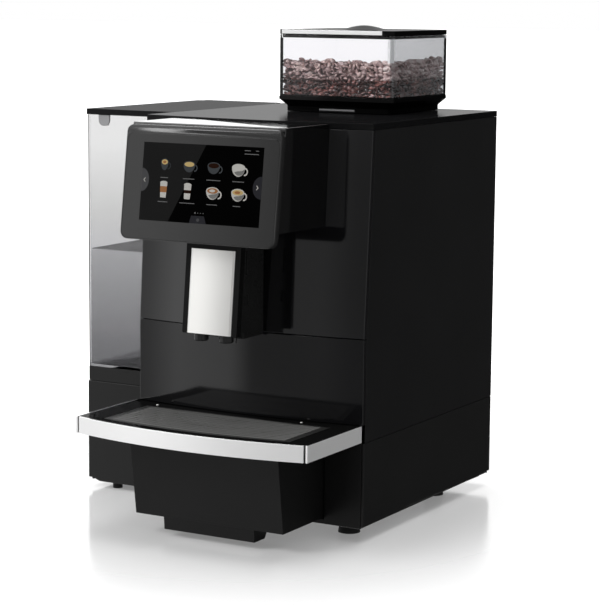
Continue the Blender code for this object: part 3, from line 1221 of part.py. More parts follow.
def tab_ring(margin):
    # Half-round tab that hangs from the lid's front edge into the tank's front wall.
    left = LEFT + TAB_FROM_LEFT - TAB_WIDTH / 2 - margin
    right = LEFT + TAB_FROM_LEFT + TAB_WIDTH / 2 + margin
    bottom = COVER_UNDER - TAB_DEPTH - margin
    radius = TAB_DEPTH / 2
    top = COVER_UNDER + COVER_THICKNESS / 2
    ring = [(left, top)]
    for step in range(5):
        angle = math.pi + step / 4 * math.pi / 2
        ring.append((left + radius + radius * math.cos(angle), bottom + radius + radius * math.sin(angle)))
    for step in range(5):
        angle = 1.5 * math.pi + step / 4 * math.pi / 2
        ring.append((right - radius + radius * math.cos(angle), bottom + radius + radius * math.sin(angle)))
    return ring + [(right, top)]


def tank_lid():
    low_x = LEFT
    high_x = MAIN_LEFT - LID_GAP
    axis_y, axis_z = lid_axis()
    radius = COVER_THICKNESS / 2
    view = [(COLUMN_FRONT, COVER_UNDER)]
    for step in range(9):
        angle = -math.pi / 2 + step / 8 * math.pi
        view.append((axis_y + radius * math.cos(angle), axis_z + radius * math.sin(angle)))
    view.append((COLUMN_FRONT, BODY_HEIGHT))
    lid = slab("tank_lid", [view], low_x, high_x, "X")
    tab_front = COLUMN_FRONT + TANK_SIDE_INSET
    tab = slab("lid_tab", [tab_ring(0)], tab_front, tab_front + TANK_WALL, "Y")
    fuse(lid, tab)
    for side, x_from in ((-1, low_x), (1, high_x)):
        low = min(x_from - side * (LID_EAR_WIDTH + TANK_INNER_INSET + SLIDE_GAP), x_from + side * OVERRUN)
        high = max(x_from - side * (LID_EAR_WIDTH + TANK_INNER_INSET + SLIDE_GAP), x_from + side * OVERRUN)
        cut(lid, box("ear_room", (low, BACK - LID_EAR_LENGTH - COVER_THICKNESS, COVER_UNDER - OVERRUN),
                     (high, BACK + OVERRUN, BODY_HEIGHT + OVERRUN)))
    # Stub pins moulded with the lid turn in the tank's ears.
    pins = rod("lid_pins", LID_PIN_RADIUS, (LEFT + TANK_SIDE_INSET + SEAT_GAP, axis_y, axis_z),
               (MAIN_LEFT - TANK_INNER_INSET - SEAT_GAP, axis_y, axis_z), "X", 12)
    keep(fuse(lid, pins), "black_satin")


def hopper_ring(inset, radius, steps=4):
    return rounded_rectangle(HOPPER_X - HOPPER_WIDTH / 2 + inset, HOPPER_X + HOPPER_WIDTH / 2 - inset,
                             HOPPER_Y - HOPPER_DEPTH / 2 + inset, HOPPER_Y + HOPPER_DEPTH / 2 - inset,
                             radius, steps)


def bean_part(name, left, fall_left, fall_back):
    # Beans that lie level along one pane and fall away from it.
    inset = HOPPER_WALL + BEAN_WALL_GAP
    right = HOPPER_X + HOPPER_WIDTH / 2 - inset
    front = HOPPER_Y - HOPPER_DEPTH / 2 + inset
    back = HOPPER_Y + HOPPER_DEPTH / 2 - inset
    ring = rounded_rectangle(left, right, front, back, HOPPER_CORNER_RADIUS - inset)
    part = slab(name, [ring], BEAN_BOTTOM, BEAN_LEVEL)
    for vertex in part.data.vertices:
        if vertex.co.z > 0:
            vertex.co.z -= fall_left * (right - vertex.co.x) + fall_back * (vertex.co.y - front)
    return part


def hopper():
    # Base: an upright foot that flares out to the box above, with the bean throat through it.
    bottom = BODY_HEIGHT + SEAT_GAP
    radius = HOPPER_CORNER_RADIUS
    inset = HOPPER_BASE_INSET
    base = slab("hopper_base", [hopper_ring(inset, radius - inset / 2)], bottom, HOPPER_BASE_TOP)
    flare = slab("hopper_flare", [hopper_ring(0, radius)], bottom + HOPPER_FOOT_HEIGHT, HOPPER_BASE_TOP)
    height = HOPPER_BASE_TOP - bottom - HOPPER_FOOT_HEIGHT
    for vertex in flare.data.vertices:
        if vertex.co.z < 0:
            reach_x = 1 - inset / (HOPPER_WIDTH / 2)
            reach_y = 1 - inset / (HOPPER_DEPTH / 2)
            vertex.co.x = HOPPER_X + (vertex.co.x - HOPPER_X) * reach_x
            vertex.co.y = HOPPER_Y + (vertex.co.y - HOPPER_Y) * reach_y
            vertex.co.z = -height / 2 - SEAT_GAP
    throat = rod("base_throat", THROAT_RADIUS, (HOPPER_X, HOPPER_Y, bottom - OVERRUN),
                 (HOPPER_X, HOPPER_Y, HOPPER_BASE_TOP + OVERRUN))
    slot_low = bottom + HOPPER_FOOT_HEIGHT / 2 - SHUTTER_THICKNESS / 2 - SEAT_GAP
    plate_back = HOPPER_Y + SHUTTER_LENGTH_BEHIND_THROAT
    slot = box("shutter_slot", (HOPPER_X - SHUTTER_HALF_WIDTH - SEAT_GAP, HOPPER_Y - HOPPER_DEPTH,
                                slot_low),
               (HOPPER_X + SHUTTER_HALF_WIDTH + SEAT_GAP, plate_back + SEAT_GAP,
                slot_low + SHUTTER_THICKNESS + 2 * SEAT_GAP))
    cut(fuse(base, flare), throat, slot)
    keep(base, "black_gloss")

    # Shutter: its hole lies on the throat at rest, and pulled forward its plate closes the throat.
    front = HOPPER_Y - HOPPER_DEPTH / 2 + inset - SLIDE_GAP
    low = slot_low + SEAT_GAP
    outline = rectangle(HOPPER_X - SHUTTER_HALF_WIDTH, HOPPER_X + SHUTTER_HALF_WIDTH, front, plate_back)
    shutter = slab("hopper_shutter", [outline, circle(HOPPER_X, HOPPER_Y, THROAT_RADIUS)], low,
                   low + SHUTTER_THICKNESS)
    keep(shutter, "grey_plastic")

    box_low = HOPPER_BOX_BOTTOM
    wall = HOPPER_WALL
    clear = slab("hopper_box", [hopper_ring(0, radius)], box_low, HOPPER_BOX_TOP)
    room = slab("hopper_room", [hopper_ring(wall, radius - wall)], box_low + wall, HOPPER_BOX_TOP + OVERRUN)
    hole = rod("box_throat", THROAT_RADIUS, (HOPPER_X, HOPPER_Y, box_low - OVERRUN),
               (HOPPER_X, HOPPER_Y, box_low + wall + OVERRUN))
    keep(cut(clear, room, hole), "clear")

    right = HOPPER_X + HOPPER_WIDTH / 2 - wall - BEAN_WALL_GAP
    beans = bean_part("bean_fill", HOPPER_X * 2 - right, 0, BEAN_FALL_BACK)
    beside = bean_part("beans_beside", right - BEAN_SIDE_WIDTH, BEAN_FALL_LEFT, -BEAN_RISE_BACK)
    keep(fuse(beans, beside), "beans")
    hopper_lid()


def hopper_lid():
    low = HOPPER_BOX_TOP + SEAT_GAP
    high = low + LID_RIM_HEIGHT
    radius = HOPPER_CORNER_RADIUS
    lid = slab("hopper_lid", [hopper_ring(0, radius)], low, high)
    plug_ring = hopper_ring(HOPPER_WALL + SLIDE_GAP, SLIDE_GAP)
    plug_inside = hopper_ring(HOPPER_WALL + SLIDE_GAP + LID_PLUG_WALL, SLIDE_GAP)
    plug = slab("lid_plug", [plug_ring, plug_inside], low - LID_PLUG_DEPTH, low + LID_RIM_HEIGHT / 2)
    profile = [(0, high + LID_DOME_HEIGHT)]
    for step in range(1, 9):
        share = step / 8
        rise = LID_DOME_HEIGHT * math.cos(share * math.pi / 2) ** 2
        profile.append((LID_DOME_HALF_WIDTH * share, high + rise))
    profile += [(LID_DOME_HALF_WIDTH, high - LID_RIM_HEIGHT / 2), (0, high - LID_RIM_HEIGHT / 2)]
    dome = turned("lid_dome", profile, (HOPPER_X, HOPPER_Y, 0), 32)
    front = HOPPER_Y - HOPPER_DEPTH / 2
    left = HOPPER_X - HOPPER_WIDTH / 2 + LID_TRIM_MARGIN_LEFT
    right = HOPPER_X + HOPPER_WIDTH / 2 - LID_TRIM_MARGIN_RIGHT
    strip_low = low + LID_TRIM_THICKNESS / 2
    strip_high = high - LID_TRIM_THICKNESS / 4
    seat = box("trim_seat", (left - SEAT_GAP, front - OVERRUN, strip_low - SEAT_GAP),
               (right + SEAT_GAP, front + LID_TRIM_THICKNESS + SEAT_GAP, high + OVERRUN))
    cut(fuse(lid, plug, dome), seat)
    keep(lid, "black_gloss")
    strip = box("lid_trim", (left, front, strip_low), (right, front + LID_TRIM_THICKNESS, strip_high))
    keep(strip, "chrome")


def grinder():
    shelf = SHELF_TOP + SEAT_GAP
    throat_top = BODY_HEIGHT
    outer = THROAT_RADIUS + THROAT_WALL
    profile = [
        (THROAT_RADIUS, throat_top), (outer, throat_top), (outer, GRINDER_HEAD_TOP),
        (GRINDER_HEAD_RADIUS, GRINDER_HEAD_TOP), (GRINDER_HEAD_RADIUS, GRINDER_HEAD_BOTTOM),
        (MOTOR_RADIUS, GRINDER_HEAD_BOTTOM - MOTOR_SHOULDER), (MOTOR_RADIUS, shelf + GRINDER_FLANGE_HEIGHT),
        (GRINDER_FLANGE_RADIUS, shelf + GRINDER_FLANGE_HEIGHT), (GRINDER_FLANGE_RADIUS, shelf),
        (0, shelf), (0, BURR_CHAMBER_FLOOR - BURR_SHAFT_LENGTH - SLIDE_GAP),
        (BURR_SHAFT_RADIUS + SEAT_GAP, BURR_CHAMBER_FLOOR - BURR_SHAFT_LENGTH - SLIDE_GAP),
        (BURR_SHAFT_RADIUS + SEAT_GAP, BURR_CHAMBER_FLOOR),
        (BURR_CHAMBER_RADIUS, BURR_CHAMBER_FLOOR), (BURR_CHAMBER_RADIUS, BURR_CHAMBER_TOP - BURR_HEIGHT / 2),
        (THROAT_RADIUS, BURR_CHAMBER_TOP)]
    keep(turned("grinder_body", profile, (HOPPER_X, HOPPER_Y, 0), 28, ring=True), "aluminium")

    # Conical burr with straight cutting teeth on a short shaft.
    low = BURR_CHAMBER_FLOOR + SEAT_GAP
    steps = BURR_TEETH * 2
    mesh = bpy.data.meshes.new("burr_cone")
    work = bmesh.new()
    bmesh.ops.create_cone(work, cap_ends=True, cap_tris=False, segments=steps, radius1=BURR_RADIUS,
                          radius2=BURR_TIP_RADIUS, depth=BURR_HEIGHT)
    rim = sorted(work.verts, key=lambda vertex: math.atan2(vertex.co.y, vertex.co.x))
    for vertex in rim:
        turn = round(math.atan2(vertex.co.y, vertex.co.x) / (2 * math.pi) * steps)
        if turn % 2:
            vertex.co.x *= 1 - BURR_TOOTH_DEPTH_SHARE
            vertex.co.y *= 1 - BURR_TOOTH_DEPTH_SHARE
    work.to_mesh(mesh)
    work.free()
    cone = new_piece("burr_cone", mesh, (HOPPER_X, HOPPER_Y, low + BURR_HEIGHT / 2))
    shaft = rod("burr_shaft", BURR_SHAFT_RADIUS, (HOPPER_X, HOPPER_Y, BURR_CHAMBER_FLOOR - BURR_SHAFT_LENGTH),
                (HOPPER_X, HOPPER_Y, low + BURR_HEIGHT / 2), segments=16)
    keep(fuse(cone, shaft), "steel", smooth=False)


def brew_unit():
    shelf = SHELF_TOP + SEAT_GAP
    low_x = MAIN_MIDDLE - BREW_HALF_WIDTH
    high_x = MAIN_MIDDLE + BREW_HALF_WIDTH
    front = SEAM_Y + BREW_FRONT
    back = front + BREW_DEPTH
    middle_y = (front + back) / 2
    top = BREW_TOP
    plate = BREW_PLATE
    outer = rectangle(low_x, high_x, shelf, top)
    window = rectangle(low_x + plate, high_x - plate, shelf + plate, top - plate)
    frame = slab("brew_frame", [outer, window], front, back, "Y")
    chute = box("frame_chute", (MAIN_MIDDLE - CHUTE_WIDTH / 2, middle_y - CHUTE_DEPTH / 2, shelf - OVERRUN),
                (MAIN_MIDDLE + CHUTE_WIDTH / 2, middle_y + CHUTE_DEPTH / 2, shelf + plate + OVERRUN))
    guide = rod("rod_guide_bore", PISTON_ROD_RADIUS + SEAT_GAP, (MAIN_MIDDLE, middle_y, top - plate - OVERRUN),
                (MAIN_MIDDLE, middle_y, top + OVERRUN), segments=20)
    chamber_low = shelf + CHAMBER_BOTTOM
    chamber_top = chamber_low + CHAMBER_HEIGHT
    bridge = box("chamber_bridge", (low_x, middle_y - CHAMBER_RADIUS / 2, chamber_low),
                 (high_x, middle_y + CHAMBER_RADIUS / 2, chamber_low + CHAMBER_HEIGHT / 2))
    seat = rod("chamber_seat", CHAMBER_RADIUS + SEAT_GAP, (MAIN_MIDDLE, middle_y, chamber_low - OVERRUN),
               (MAIN_MIDDLE, middle_y, chamber_top + OVERRUN), segments=28)
    cut(fuse(frame, bridge), seat, chute, guide)
    keep(frame, "grey_plastic")
    profile = [(CHAMBER_BORE_RADIUS, chamber_top), (CHAMBER_RADIUS, chamber_top),
               (CHAMBER_RADIUS, chamber_low), (0, chamber_low), (0, chamber_low + plate),
               (CHAMBER_BORE_RADIUS, chamber_low + plate)]
    keep(turned("brew_chamber", profile, (MAIN_MIDDLE, middle_y, 0), 28, ring=True), "steel")
    head_low = chamber_top + PISTON_REST_ABOVE
    head_top = head_low + PISTON_HEIGHT
    radius = CHAMBER_BORE_RADIUS - PISTON_CLEARANCE
    rod_top = COVER_UNDER - PISTON_ROD_HEADROOM
    profile = [(0, rod_top), (PISTON_ROD_RADIUS, rod_top), (PISTON_ROD_RADIUS, head_top),
               (radius, head_top), (radius, head_low), (0, head_low)]
    keep(turned("brew_piston", profile, (MAIN_MIDDLE, middle_y, 0), 24), "grey_plastic")


def boiler_and_pump():
    shelf = SHELF_TOP + SEAT_GAP
    x = MAIN_LEFT + BOILER_FROM_MAIN_LEFT
    y = SEAM_Y + BOILER_BEHIND_SEAM
    top = shelf + BOILER_HEIGHT
    profile = [(0, top)]
    for step in range(1, 5):
        angle = step / 4 * math.pi / 2
        profile.append((BOILER_RADIUS * math.sin(angle), top - BOILER_DOME * (1 - math.cos(angle))))
    profile += [(BOILER_RADIUS, shelf), (0, shelf)]
    keep(turned("boiler", profile, (x, y, 0), 28), "steel")

    x = MAIN_LEFT + PUMP_FROM_MAIN_LEFT
    y = SEAM_Y + PUMP_BEHIND_SEAM
    half = PUMP_WIDTH / 2
    body = box("pump", (x - half, y - PUMP_LENGTH / 2 + PUMP_HEAD_LENGTH, shelf),
               (x + half, y + PUMP_LENGTH / 2, shelf + PUMP_HEIGHT))
    centre = shelf + PUMP_HEIGHT / 2
    head = rod("pump_head", PUMP_HEAD_RADIUS, (x, y - PUMP_LENGTH / 2, centre), (x, y, centre), "Y", 20)
    keep(fuse(body, head), "brass")


def control_board():
    face = RIGHT - SIDE_THICKNESS - SEAT_GAP
    inner = face - BOARD_POST
    low_y = SEAM_Y + BOARD_BEHIND_SEAM
    low_z = SHELF_TOP + BOARD_LIFT
    board = box("control_board", (inner - BOARD_THICKNESS, low_y, low_z),
                (inner, low_y + BOARD_LENGTH, low_z + BOARD_HEIGHT))
    for y in (low_y + BOARD_POST, low_y + BOARD_LENGTH - BOARD_POST):
        for z in (low_z + BOARD_POST, low_z + BOARD_HEIGHT - BOARD_POST):
            fuse(board, rod("board_post", BOARD_POST / 2, (inner - BOARD_THICKNESS / 2, y, z), (face, y, z),
                            "X", 10))
    pitch = BOARD_LENGTH / BOARD_CHIPS
    for place in range(BOARD_CHIPS):
        y = low_y + (place + 1 / 2) * pitch
        z = low_z + BOARD_HEIGHT / 2 + (place % 2) * CHIP_SIZE
        fuse(board, box("chip", (inner - BOARD_THICKNESS - CHIP_HEIGHT, y - CHIP_SIZE / 2, z - CHIP_SIZE / 2),
                        (inner - BOARD_THICKNESS / 2, y + CHIP_SIZE / 2, z + CHIP_SIZE / 2)))
    keep(board, "board_green")


def pipe_y():
    return BACK - VALVE_FROM_BACK


def bend(start, corner, end, radius, steps=5):
    # Points round a corner between two straight runs that are square to each other.
    points = []
    toward = [(start[i] - corner[i]) for i in range(3)]
    away = [(end[i] - corner[i]) for i in range(3)]
    length_in = math.dist(start, corner)
    length_out = math.dist(end, corner)
    for step in range(steps + 1):
        angle = step / steps * math.pi / 2
        share_in = radius * (1 - math.sin(angle)) / length_in
        share_out = radius * (1 - math.cos(angle)) / length_out
        points.append(tuple(corner[i] + toward[i] * share_in + away[i] * share_out for i in range(3)))
    return points


def water_pipe():
    valve_x, valve_y = valve_place()
    start = (valve_x, valve_y, COLUMN_SKIRT_TOP)
    first = (valve_x, valve_y, PIPE_RUN_HEIGHT)
    riser_x = MAIN_LEFT + PIPE_RISER_FROM_MAIN_LEFT
    second = (riser_x, valve_y, PIPE_RUN_HEIGHT)
    end = (riser_x, valve_y, SHELF_TOP + PIPE_RISER_FROM_MAIN_LEFT)
    radius = PIPE_RADIUS * 3
    route = [start] + bend(start, first, second, radius) + bend(first, second, end, radius) + [end]
    keep(pipe("water_pipe", route, PIPE_RADIUS), "grey_plastic")


# Which pieces move together, with the point that their joint's axis passes through
def moving_groups():
    axis_y, axis_z = lid_axis()
    inlet_x, switch_z = inlet_place()
    middle_y = SEAM_Y + BREW_FRONT + BREW_DEPTH / 2
    return {
        "tray_drawer": ((MAIN_MIDDLE, SEAM_Y, TUB_BOTTOM), (
            "tray_tub", "tray_deck", "trim_front", "trim_left", "trim_right")),
        "grille": ((MAIN_MIDDLE, SEAM_Y, DECK_HEIGHT), ("drip_grille",)),
        "grounds": ((MAIN_MIDDLE, SEAM_Y, BIN_TOP), ("grounds_bin",)),
        "spout": ((MAIN_MIDDLE, SEAM_Y, CARRIAGE_BOTTOM), (
            "spout_carriage", "spout_bezel", "spout_plate", "nozzle_left", "nozzle_right",
            "hot_water_tip")),
        "tank": ((*valve_place(), TANK_FLOOR), ("water_tank", "tank_valve")),
        "tank_cover": (((LEFT + MAIN_LEFT) / 2, axis_y, axis_z), ("tank_lid",)),
        "hopper_top": ((HOPPER_X, HOPPER_Y, HOPPER_BOX_TOP), ("hopper_lid", "lid_trim")),
        "shutter": ((HOPPER_X, HOPPER_Y, BODY_HEIGHT), ("hopper_shutter",)),
        "burr": ((HOPPER_X, HOPPER_Y, BURR_CHAMBER_FLOOR), ("burr_cone",)),
        "piston": ((MAIN_MIDDLE, middle_y, SHELF_TOP), ("brew_piston",)),
        "rocker": ((inlet_x, rocker_y(), switch_z), ("power_rocker",)),
    }


def hang_moving_pieces():
    for name, (place, pieces) in moving_groups().items():
        pivot = bpy.data.objects.new(name + "_pivot", None)
        pivot.location = place
        group_named("coffee_machine").objects.link(pivot)
        for piece in pieces:
            PARTS[piece].parent = pivot
            PARTS[piece].matrix_parent_inverse = Matrix.Translation(place).inverted()


def main():
    clear_scene()
    for build in (front_panels, side_panels, skirts, front_frame, rear_panel, power_entry, base_pan, feet,
                  equipment_shelf, top_cover, screen_module, spout, tray_trim, tray_deck, drip_grille,
                  tray_tub, grounds_bin, runners, tank_ledge, water_tank, tank_lid, hopper, grinder,
                  brew_unit, boiler_and_pump, control_board, water_pipe):
        build()
    hang_moving_pieces()


main()
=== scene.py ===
import json
import math
import random

import bmesh
import bpy
from mathutils import Matrix, Vector


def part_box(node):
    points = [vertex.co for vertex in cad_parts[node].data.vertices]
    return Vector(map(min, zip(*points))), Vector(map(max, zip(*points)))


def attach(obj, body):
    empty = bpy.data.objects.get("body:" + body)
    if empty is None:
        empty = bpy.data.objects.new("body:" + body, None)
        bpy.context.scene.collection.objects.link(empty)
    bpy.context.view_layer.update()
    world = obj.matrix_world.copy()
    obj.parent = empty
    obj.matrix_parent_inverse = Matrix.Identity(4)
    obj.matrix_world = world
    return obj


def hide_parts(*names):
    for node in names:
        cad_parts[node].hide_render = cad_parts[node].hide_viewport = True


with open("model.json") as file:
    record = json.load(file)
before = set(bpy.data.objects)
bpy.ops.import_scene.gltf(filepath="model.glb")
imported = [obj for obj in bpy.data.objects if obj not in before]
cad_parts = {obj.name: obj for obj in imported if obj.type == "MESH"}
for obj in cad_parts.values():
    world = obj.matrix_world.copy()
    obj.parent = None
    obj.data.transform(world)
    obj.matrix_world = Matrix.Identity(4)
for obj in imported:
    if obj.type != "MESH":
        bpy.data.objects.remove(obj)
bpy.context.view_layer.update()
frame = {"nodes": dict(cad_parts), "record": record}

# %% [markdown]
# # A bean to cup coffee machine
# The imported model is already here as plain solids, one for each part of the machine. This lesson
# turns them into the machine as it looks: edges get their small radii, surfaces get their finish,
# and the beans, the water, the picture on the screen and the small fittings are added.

body_of_node = {}
for body, nodes in frame["record"]["behaviour"]["bodies"].items():
    for node in nodes:
        body_of_node[node] = body
slot_of_node = {part["node"]: part["material_slot"] for part in frame["record"]["subparts"]}


def pick_only(thing):
    bpy.ops.object.select_all(action="DESELECT")
    thing.select_set(True)
    bpy.context.view_layer.objects.active = thing


def apply_all(piece):
    pick_only(piece)
    for modifier in list(piece.modifiers):
        bpy.ops.object.modifier_apply(modifier=modifier.name)


def thicken(piece, thickness):
    # Gives a sheet its thickness on the side away from its normals.
    wall_of_piece = piece.modifiers.new("wall", "SOLIDIFY")
    wall_of_piece.thickness = thickness
    wall_of_piece.offset = -1
    apply_all(piece)


def join_all(pieces):
    bpy.ops.object.select_all(action="DESELECT")
    for piece in pieces:
        piece.select_set(True)
    bpy.context.view_layer.objects.active = pieces[0]
    bpy.ops.object.join()
    return bpy.context.active_object


def select_parts(kind, parts, wanted):
    # Selects the faces or edges that wanted() says yes to, and stays in edit mode.
    bpy.ops.object.mode_set(mode="EDIT")
    bpy.ops.mesh.select_mode(type=kind)
    bpy.ops.mesh.select_all(action="DESELECT")
    bpy.ops.object.mode_set(mode="OBJECT")
    for part in parts:
        part.select = wanted(part)
    bpy.ops.object.mode_set(mode="EDIT")


def block(low, high):
    # A box between two corners, with its place in its mesh.
    bpy.ops.object.select_all(action="DESELECT")
    bpy.ops.mesh.primitive_cube_add(size=1)
    made = bpy.context.active_object
    made.scale = [high[axis] - low[axis] for axis in range(3)]
    made.location = [(low[axis] + high[axis]) / 2 for axis in range(3)]
    bpy.ops.object.transform_apply(location=True, scale=True)
    return made


# %% [markdown]
# A shader is built from the same few nodes again and again: a colour ramp, a change of range, one
# axis of the object's place, a mix of two colours. Each of these gets a helper, so that a finish
# can be read as a recipe.

# %% Tools for shaders
def grey(value, blue=0.0):
    return (value, value, value + blue)


def fill_ramp(ramp, stops):
    # stops are (place along the ramp, colour); the first two reuse the ramp's own elements.
    elements = ramp.color_ramp.elements
    for number, (position, colour) in enumerate(stops):
        if number < 2:
            element = elements[number]
            element.position = position
        else:
            element = elements.new(position)
        element.color = (*colour, 1)


def map_range(nodes, from_low=0.0, from_high=1.0, to_low=0.0, to_high=1.0):
    mapped = nodes.new("ShaderNodeMapRange")
    for name, value in (("From Min", from_low), ("From Max", from_high), ("To Min", to_low),
                        ("To Max", to_high)):
        mapped.inputs[name].default_value = value
    return mapped


def split_place(nodes, links, kind="Object"):
    # X, Y and Z of the object's own coordinates, or of its normals.
    place = nodes.new("ShaderNodeTexCoord")
    split = nodes.new("ShaderNodeSeparateXYZ")
    links.new(place.outputs[kind], split.inputs["Vector"])
    return split


def mix_colours(nodes, links, factor, first, second, blend="MIX"):
    # Each input is a socket to link or a constant.
    mixed = nodes.new("ShaderNodeMix")
    mixed.data_type = "RGBA"
    mixed.blend_type = blend
    for name, value in (("Factor", factor), ("A", first), ("B", second)):
        if isinstance(value, bpy.types.NodeSocket):
            links.new(value, mixed.inputs[name])
        else:
            mixed.inputs[name].default_value = value
    return mixed.outputs["Result"]


def camera_or_through(nodes, links):
    # Is 1 for what the camera sees directly or through clear plastic.
    rays = nodes.new("ShaderNodeLightPath")
    seen = nodes.new("ShaderNodeMath")
    seen.operation = "MAXIMUM"
    links.new(rays.outputs["Is Camera Ray"], seen.inputs[0])
    links.new(rays.outputs["Is Transmission Ray"], seen.inputs[1])
    return rays, seen.outputs["Value"]


# %% [markdown]
# ## Camera
# A product photographer stands well back with a long lens, a little above the machine and to its
# right. The camera is placed with a full matrix, because position, heading, tilt and a slight roll
# are then all exact. A lens of 128 mm on a 36 mm sensor gives the flat perspective.

# %% Camera
heading = 0.516905
tilt_down = 0.144919
roll = 0.0085208
camera_place = (1.3168, -2.1859, 0.6198)
lens = 127.58
sensor_width = 36
backward = Vector((math.sin(heading) * math.cos(tilt_down),
                   -math.cos(heading) * math.cos(tilt_down), math.sin(tilt_down)))
right_hand = Vector((math.cos(heading), math.sin(heading), 0))
upward = backward.cross(right_hand)
image_right = math.cos(roll) * right_hand + math.sin(roll) * upward
image_up = -math.sin(roll) * right_hand + math.cos(roll) * upward

camera_data = bpy.data.cameras.new("camera")
camera_data.lens = lens
camera_data.sensor_width = sensor_width
camera = bpy.data.objects.new("camera", camera_data)
bpy.context.scene.collection.objects.link(camera)
camera.matrix_world = Matrix.Translation(camera_place) @ Matrix(
    (image_right, image_up, backward)).transposed().to_4x4()
bpy.context.scene.camera = camera
print("camera lens", camera_data.lens, "mm")

# %% [markdown]
# ## Studio
# Black gloss shows nothing but what it mirrors, so the room matters more than the lamps. A studio
# has bright cards in front and on the left, and black cloth behind and on the right. Here the room
# is a world shader whose brightness depends on the compass heading only, like cards stood in a
# ring. The machine's front panels are slightly bowed, so they sweep across the ring and show it as
# a soft gradient. What the camera sees directly, or through clear plastic, is plain white instead.

# %% Room, as a ring of cards by heading in degrees: 0 is in front, 90 to the left, -90 to the right
card_ring = ((-180, 0.30), (-165, 0.04), (-140, 0.05), (-125, 0.50), (-70, 0.50), (-64, 0.30),
             (-62, 1.40), (-57, 1.40), (-55, 0.30), (-20, 0.55), (-5, 0.50), (3, 0.30), (9, 0.24),
             (16, 0.45), (29.5, 0.45), (33.5, 1.40), (45, 1.55), (50, 0.95), (55, 0.42), (62, 0.85),
             (100, 0.85), (125, 0.60), (138, 1.60), (160, 1.60), (180, 0.30))
brightest_card = max(value for degrees, value in card_ring)
world = bpy.data.worlds.new("studio")
bpy.context.scene.world = world
world.use_nodes = True
nodes, links = world.node_tree.nodes, world.node_tree.links
nodes.clear()
place = nodes.new("ShaderNodeTexCoord")
turned = nodes.new("ShaderNodeVectorMath")
turned.operation = "SCALE"
turned.inputs["Scale"].default_value = -1
parts_of = nodes.new("ShaderNodeSeparateXYZ")
heading_of = nodes.new("ShaderNodeMath")
heading_of.operation = "ARCTAN2"
along_ring = map_range(nodes, -math.pi, math.pi)
room_ramp = nodes.new("ShaderNodeValToRGB")
fill_ramp(room_ramp, [(0.5 + degrees / 360, grey(value / brightest_card))
                      for degrees, value in card_ring])
room_light = nodes.new("ShaderNodeBackground")
room_light.inputs["Strength"].default_value = brightest_card
rays, seen = camera_or_through(nodes, links)
plain_white = nodes.new("ShaderNodeBackground")
plain_white.inputs["Color"].default_value = (1, 1, 1, 1)
mix = nodes.new("ShaderNodeMixShader")
out = nodes.new("ShaderNodeOutputWorld")
links.new(place.outputs["Generated"], turned.inputs[0])
links.new(turned.outputs["Vector"], parts_of.inputs["Vector"])
links.new(parts_of.outputs["X"], heading_of.inputs[0])
links.new(parts_of.outputs["Y"], heading_of.inputs[1])
links.new(heading_of.outputs["Value"], along_ring.inputs["Value"])
links.new(along_ring.outputs["Result"], room_ramp.inputs["Fac"])
links.new(room_ramp.outputs["Color"], room_light.inputs["Color"])
links.new(seen, mix.inputs["Fac"])
links.new(room_light.outputs["Background"], mix.inputs[1])
links.new(plain_white.outputs["Background"], mix.inputs[2])
links.new(mix.outputs["Shader"], out.inputs["Surface"])
bpy.context.scene.view_settings.view_transform = "Standard"
print("room has", len(card_ring), "stops; the brightest card is", brightest_card)


# %% Lamps
lamp_aim = (0, 0, 0.2)


def soft_lamp(name, where, size, watts, gloss):
    lamp_data = bpy.data.lights.new(name, "AREA")
    lamp_data.shape = "RECTANGLE"
    lamp_data.size = lamp_data.size_y = size
    lamp_data.energy = watts
    lamp_data.specular_factor = gloss
    lamp = bpy.data.objects.new(name, lamp_data)
    bpy.context.scene.collection.objects.link(lamp)
    lamp.location = where
    lamp.rotation_euler = (Vector(lamp_aim) - Vector(where)).to_track_quat("-Z", "Y").to_euler()
    print(name, "is", size, "m wide and gives", watts, "W")


soft_lamp("key_softbox", (-1.6, -2.2, 2.2), 1.6, 50, 0.15)
soft_lamp("top_softbox", (0.3, 0.2, 2.6), 1.8, 46, 0.10)

# %% [markdown]
# ## Floor
# The floor is white paper that runs back past the horizon. Near the machine it is lit by the
# lamps, so it keeps the machine's shadow and its faint mirror image, and further off it glows
# white for the camera by itself. Glossy rays pass through it, so that the black panels mirror the
# ring of cards and not a grey horizon.

# %% Floor
floor_size = 60
glow_from, glow_full, least_glow = 0.35, 1.10, 0.20
gloss_until, dull_from, gloss, dull = 0.28, 0.50, 0.12, 0.60
paper, paper_shine = grey(0.66), 0.35
bpy.ops.object.select_all(action="DESELECT")
bpy.ops.mesh.primitive_plane_add(size=floor_size, location=(0, 0, 0))
floor = bpy.context.active_object
floor.name = "studio_floor"
floor_finish = bpy.data.materials.new("studio_floor")
floor_finish.use_nodes = True
nodes, links = floor_finish.node_tree.nodes, floor_finish.node_tree.links
sheet = nodes["Principled BSDF"]
sheet.inputs["Base Color"].default_value = (*paper, 1)
sheet.inputs["Specular IOR Level"].default_value = paper_shine
place = nodes.new("ShaderNodeTexCoord")
distance = nodes.new("ShaderNodeVectorMath")
distance.operation = "LENGTH"
fade_in = map_range(nodes, glow_from, glow_full, least_glow, 1.0)
fade_in.interpolation_type = "SMOOTHSTEP"
dulling = map_range(nodes, gloss_until, dull_from, gloss, dull)
links.new(distance.outputs["Value"], dulling.inputs["Value"])
links.new(dulling.outputs["Result"], sheet.inputs["Roughness"])
glow = nodes.new("ShaderNodeEmission")
glow.inputs["Color"].default_value = (1, 1, 1, 1)
rays, seen = camera_or_through(nodes, links)
share = nodes.new("ShaderNodeMath")
share.operation = "MULTIPLY"
both = nodes.new("ShaderNodeAddShader")
let_through = nodes.new("ShaderNodeBsdfTransparent")
choice = nodes.new("ShaderNodeMixShader")
links.new(place.outputs["Object"], distance.inputs[0])
links.new(distance.outputs["Value"], fade_in.inputs["Value"])
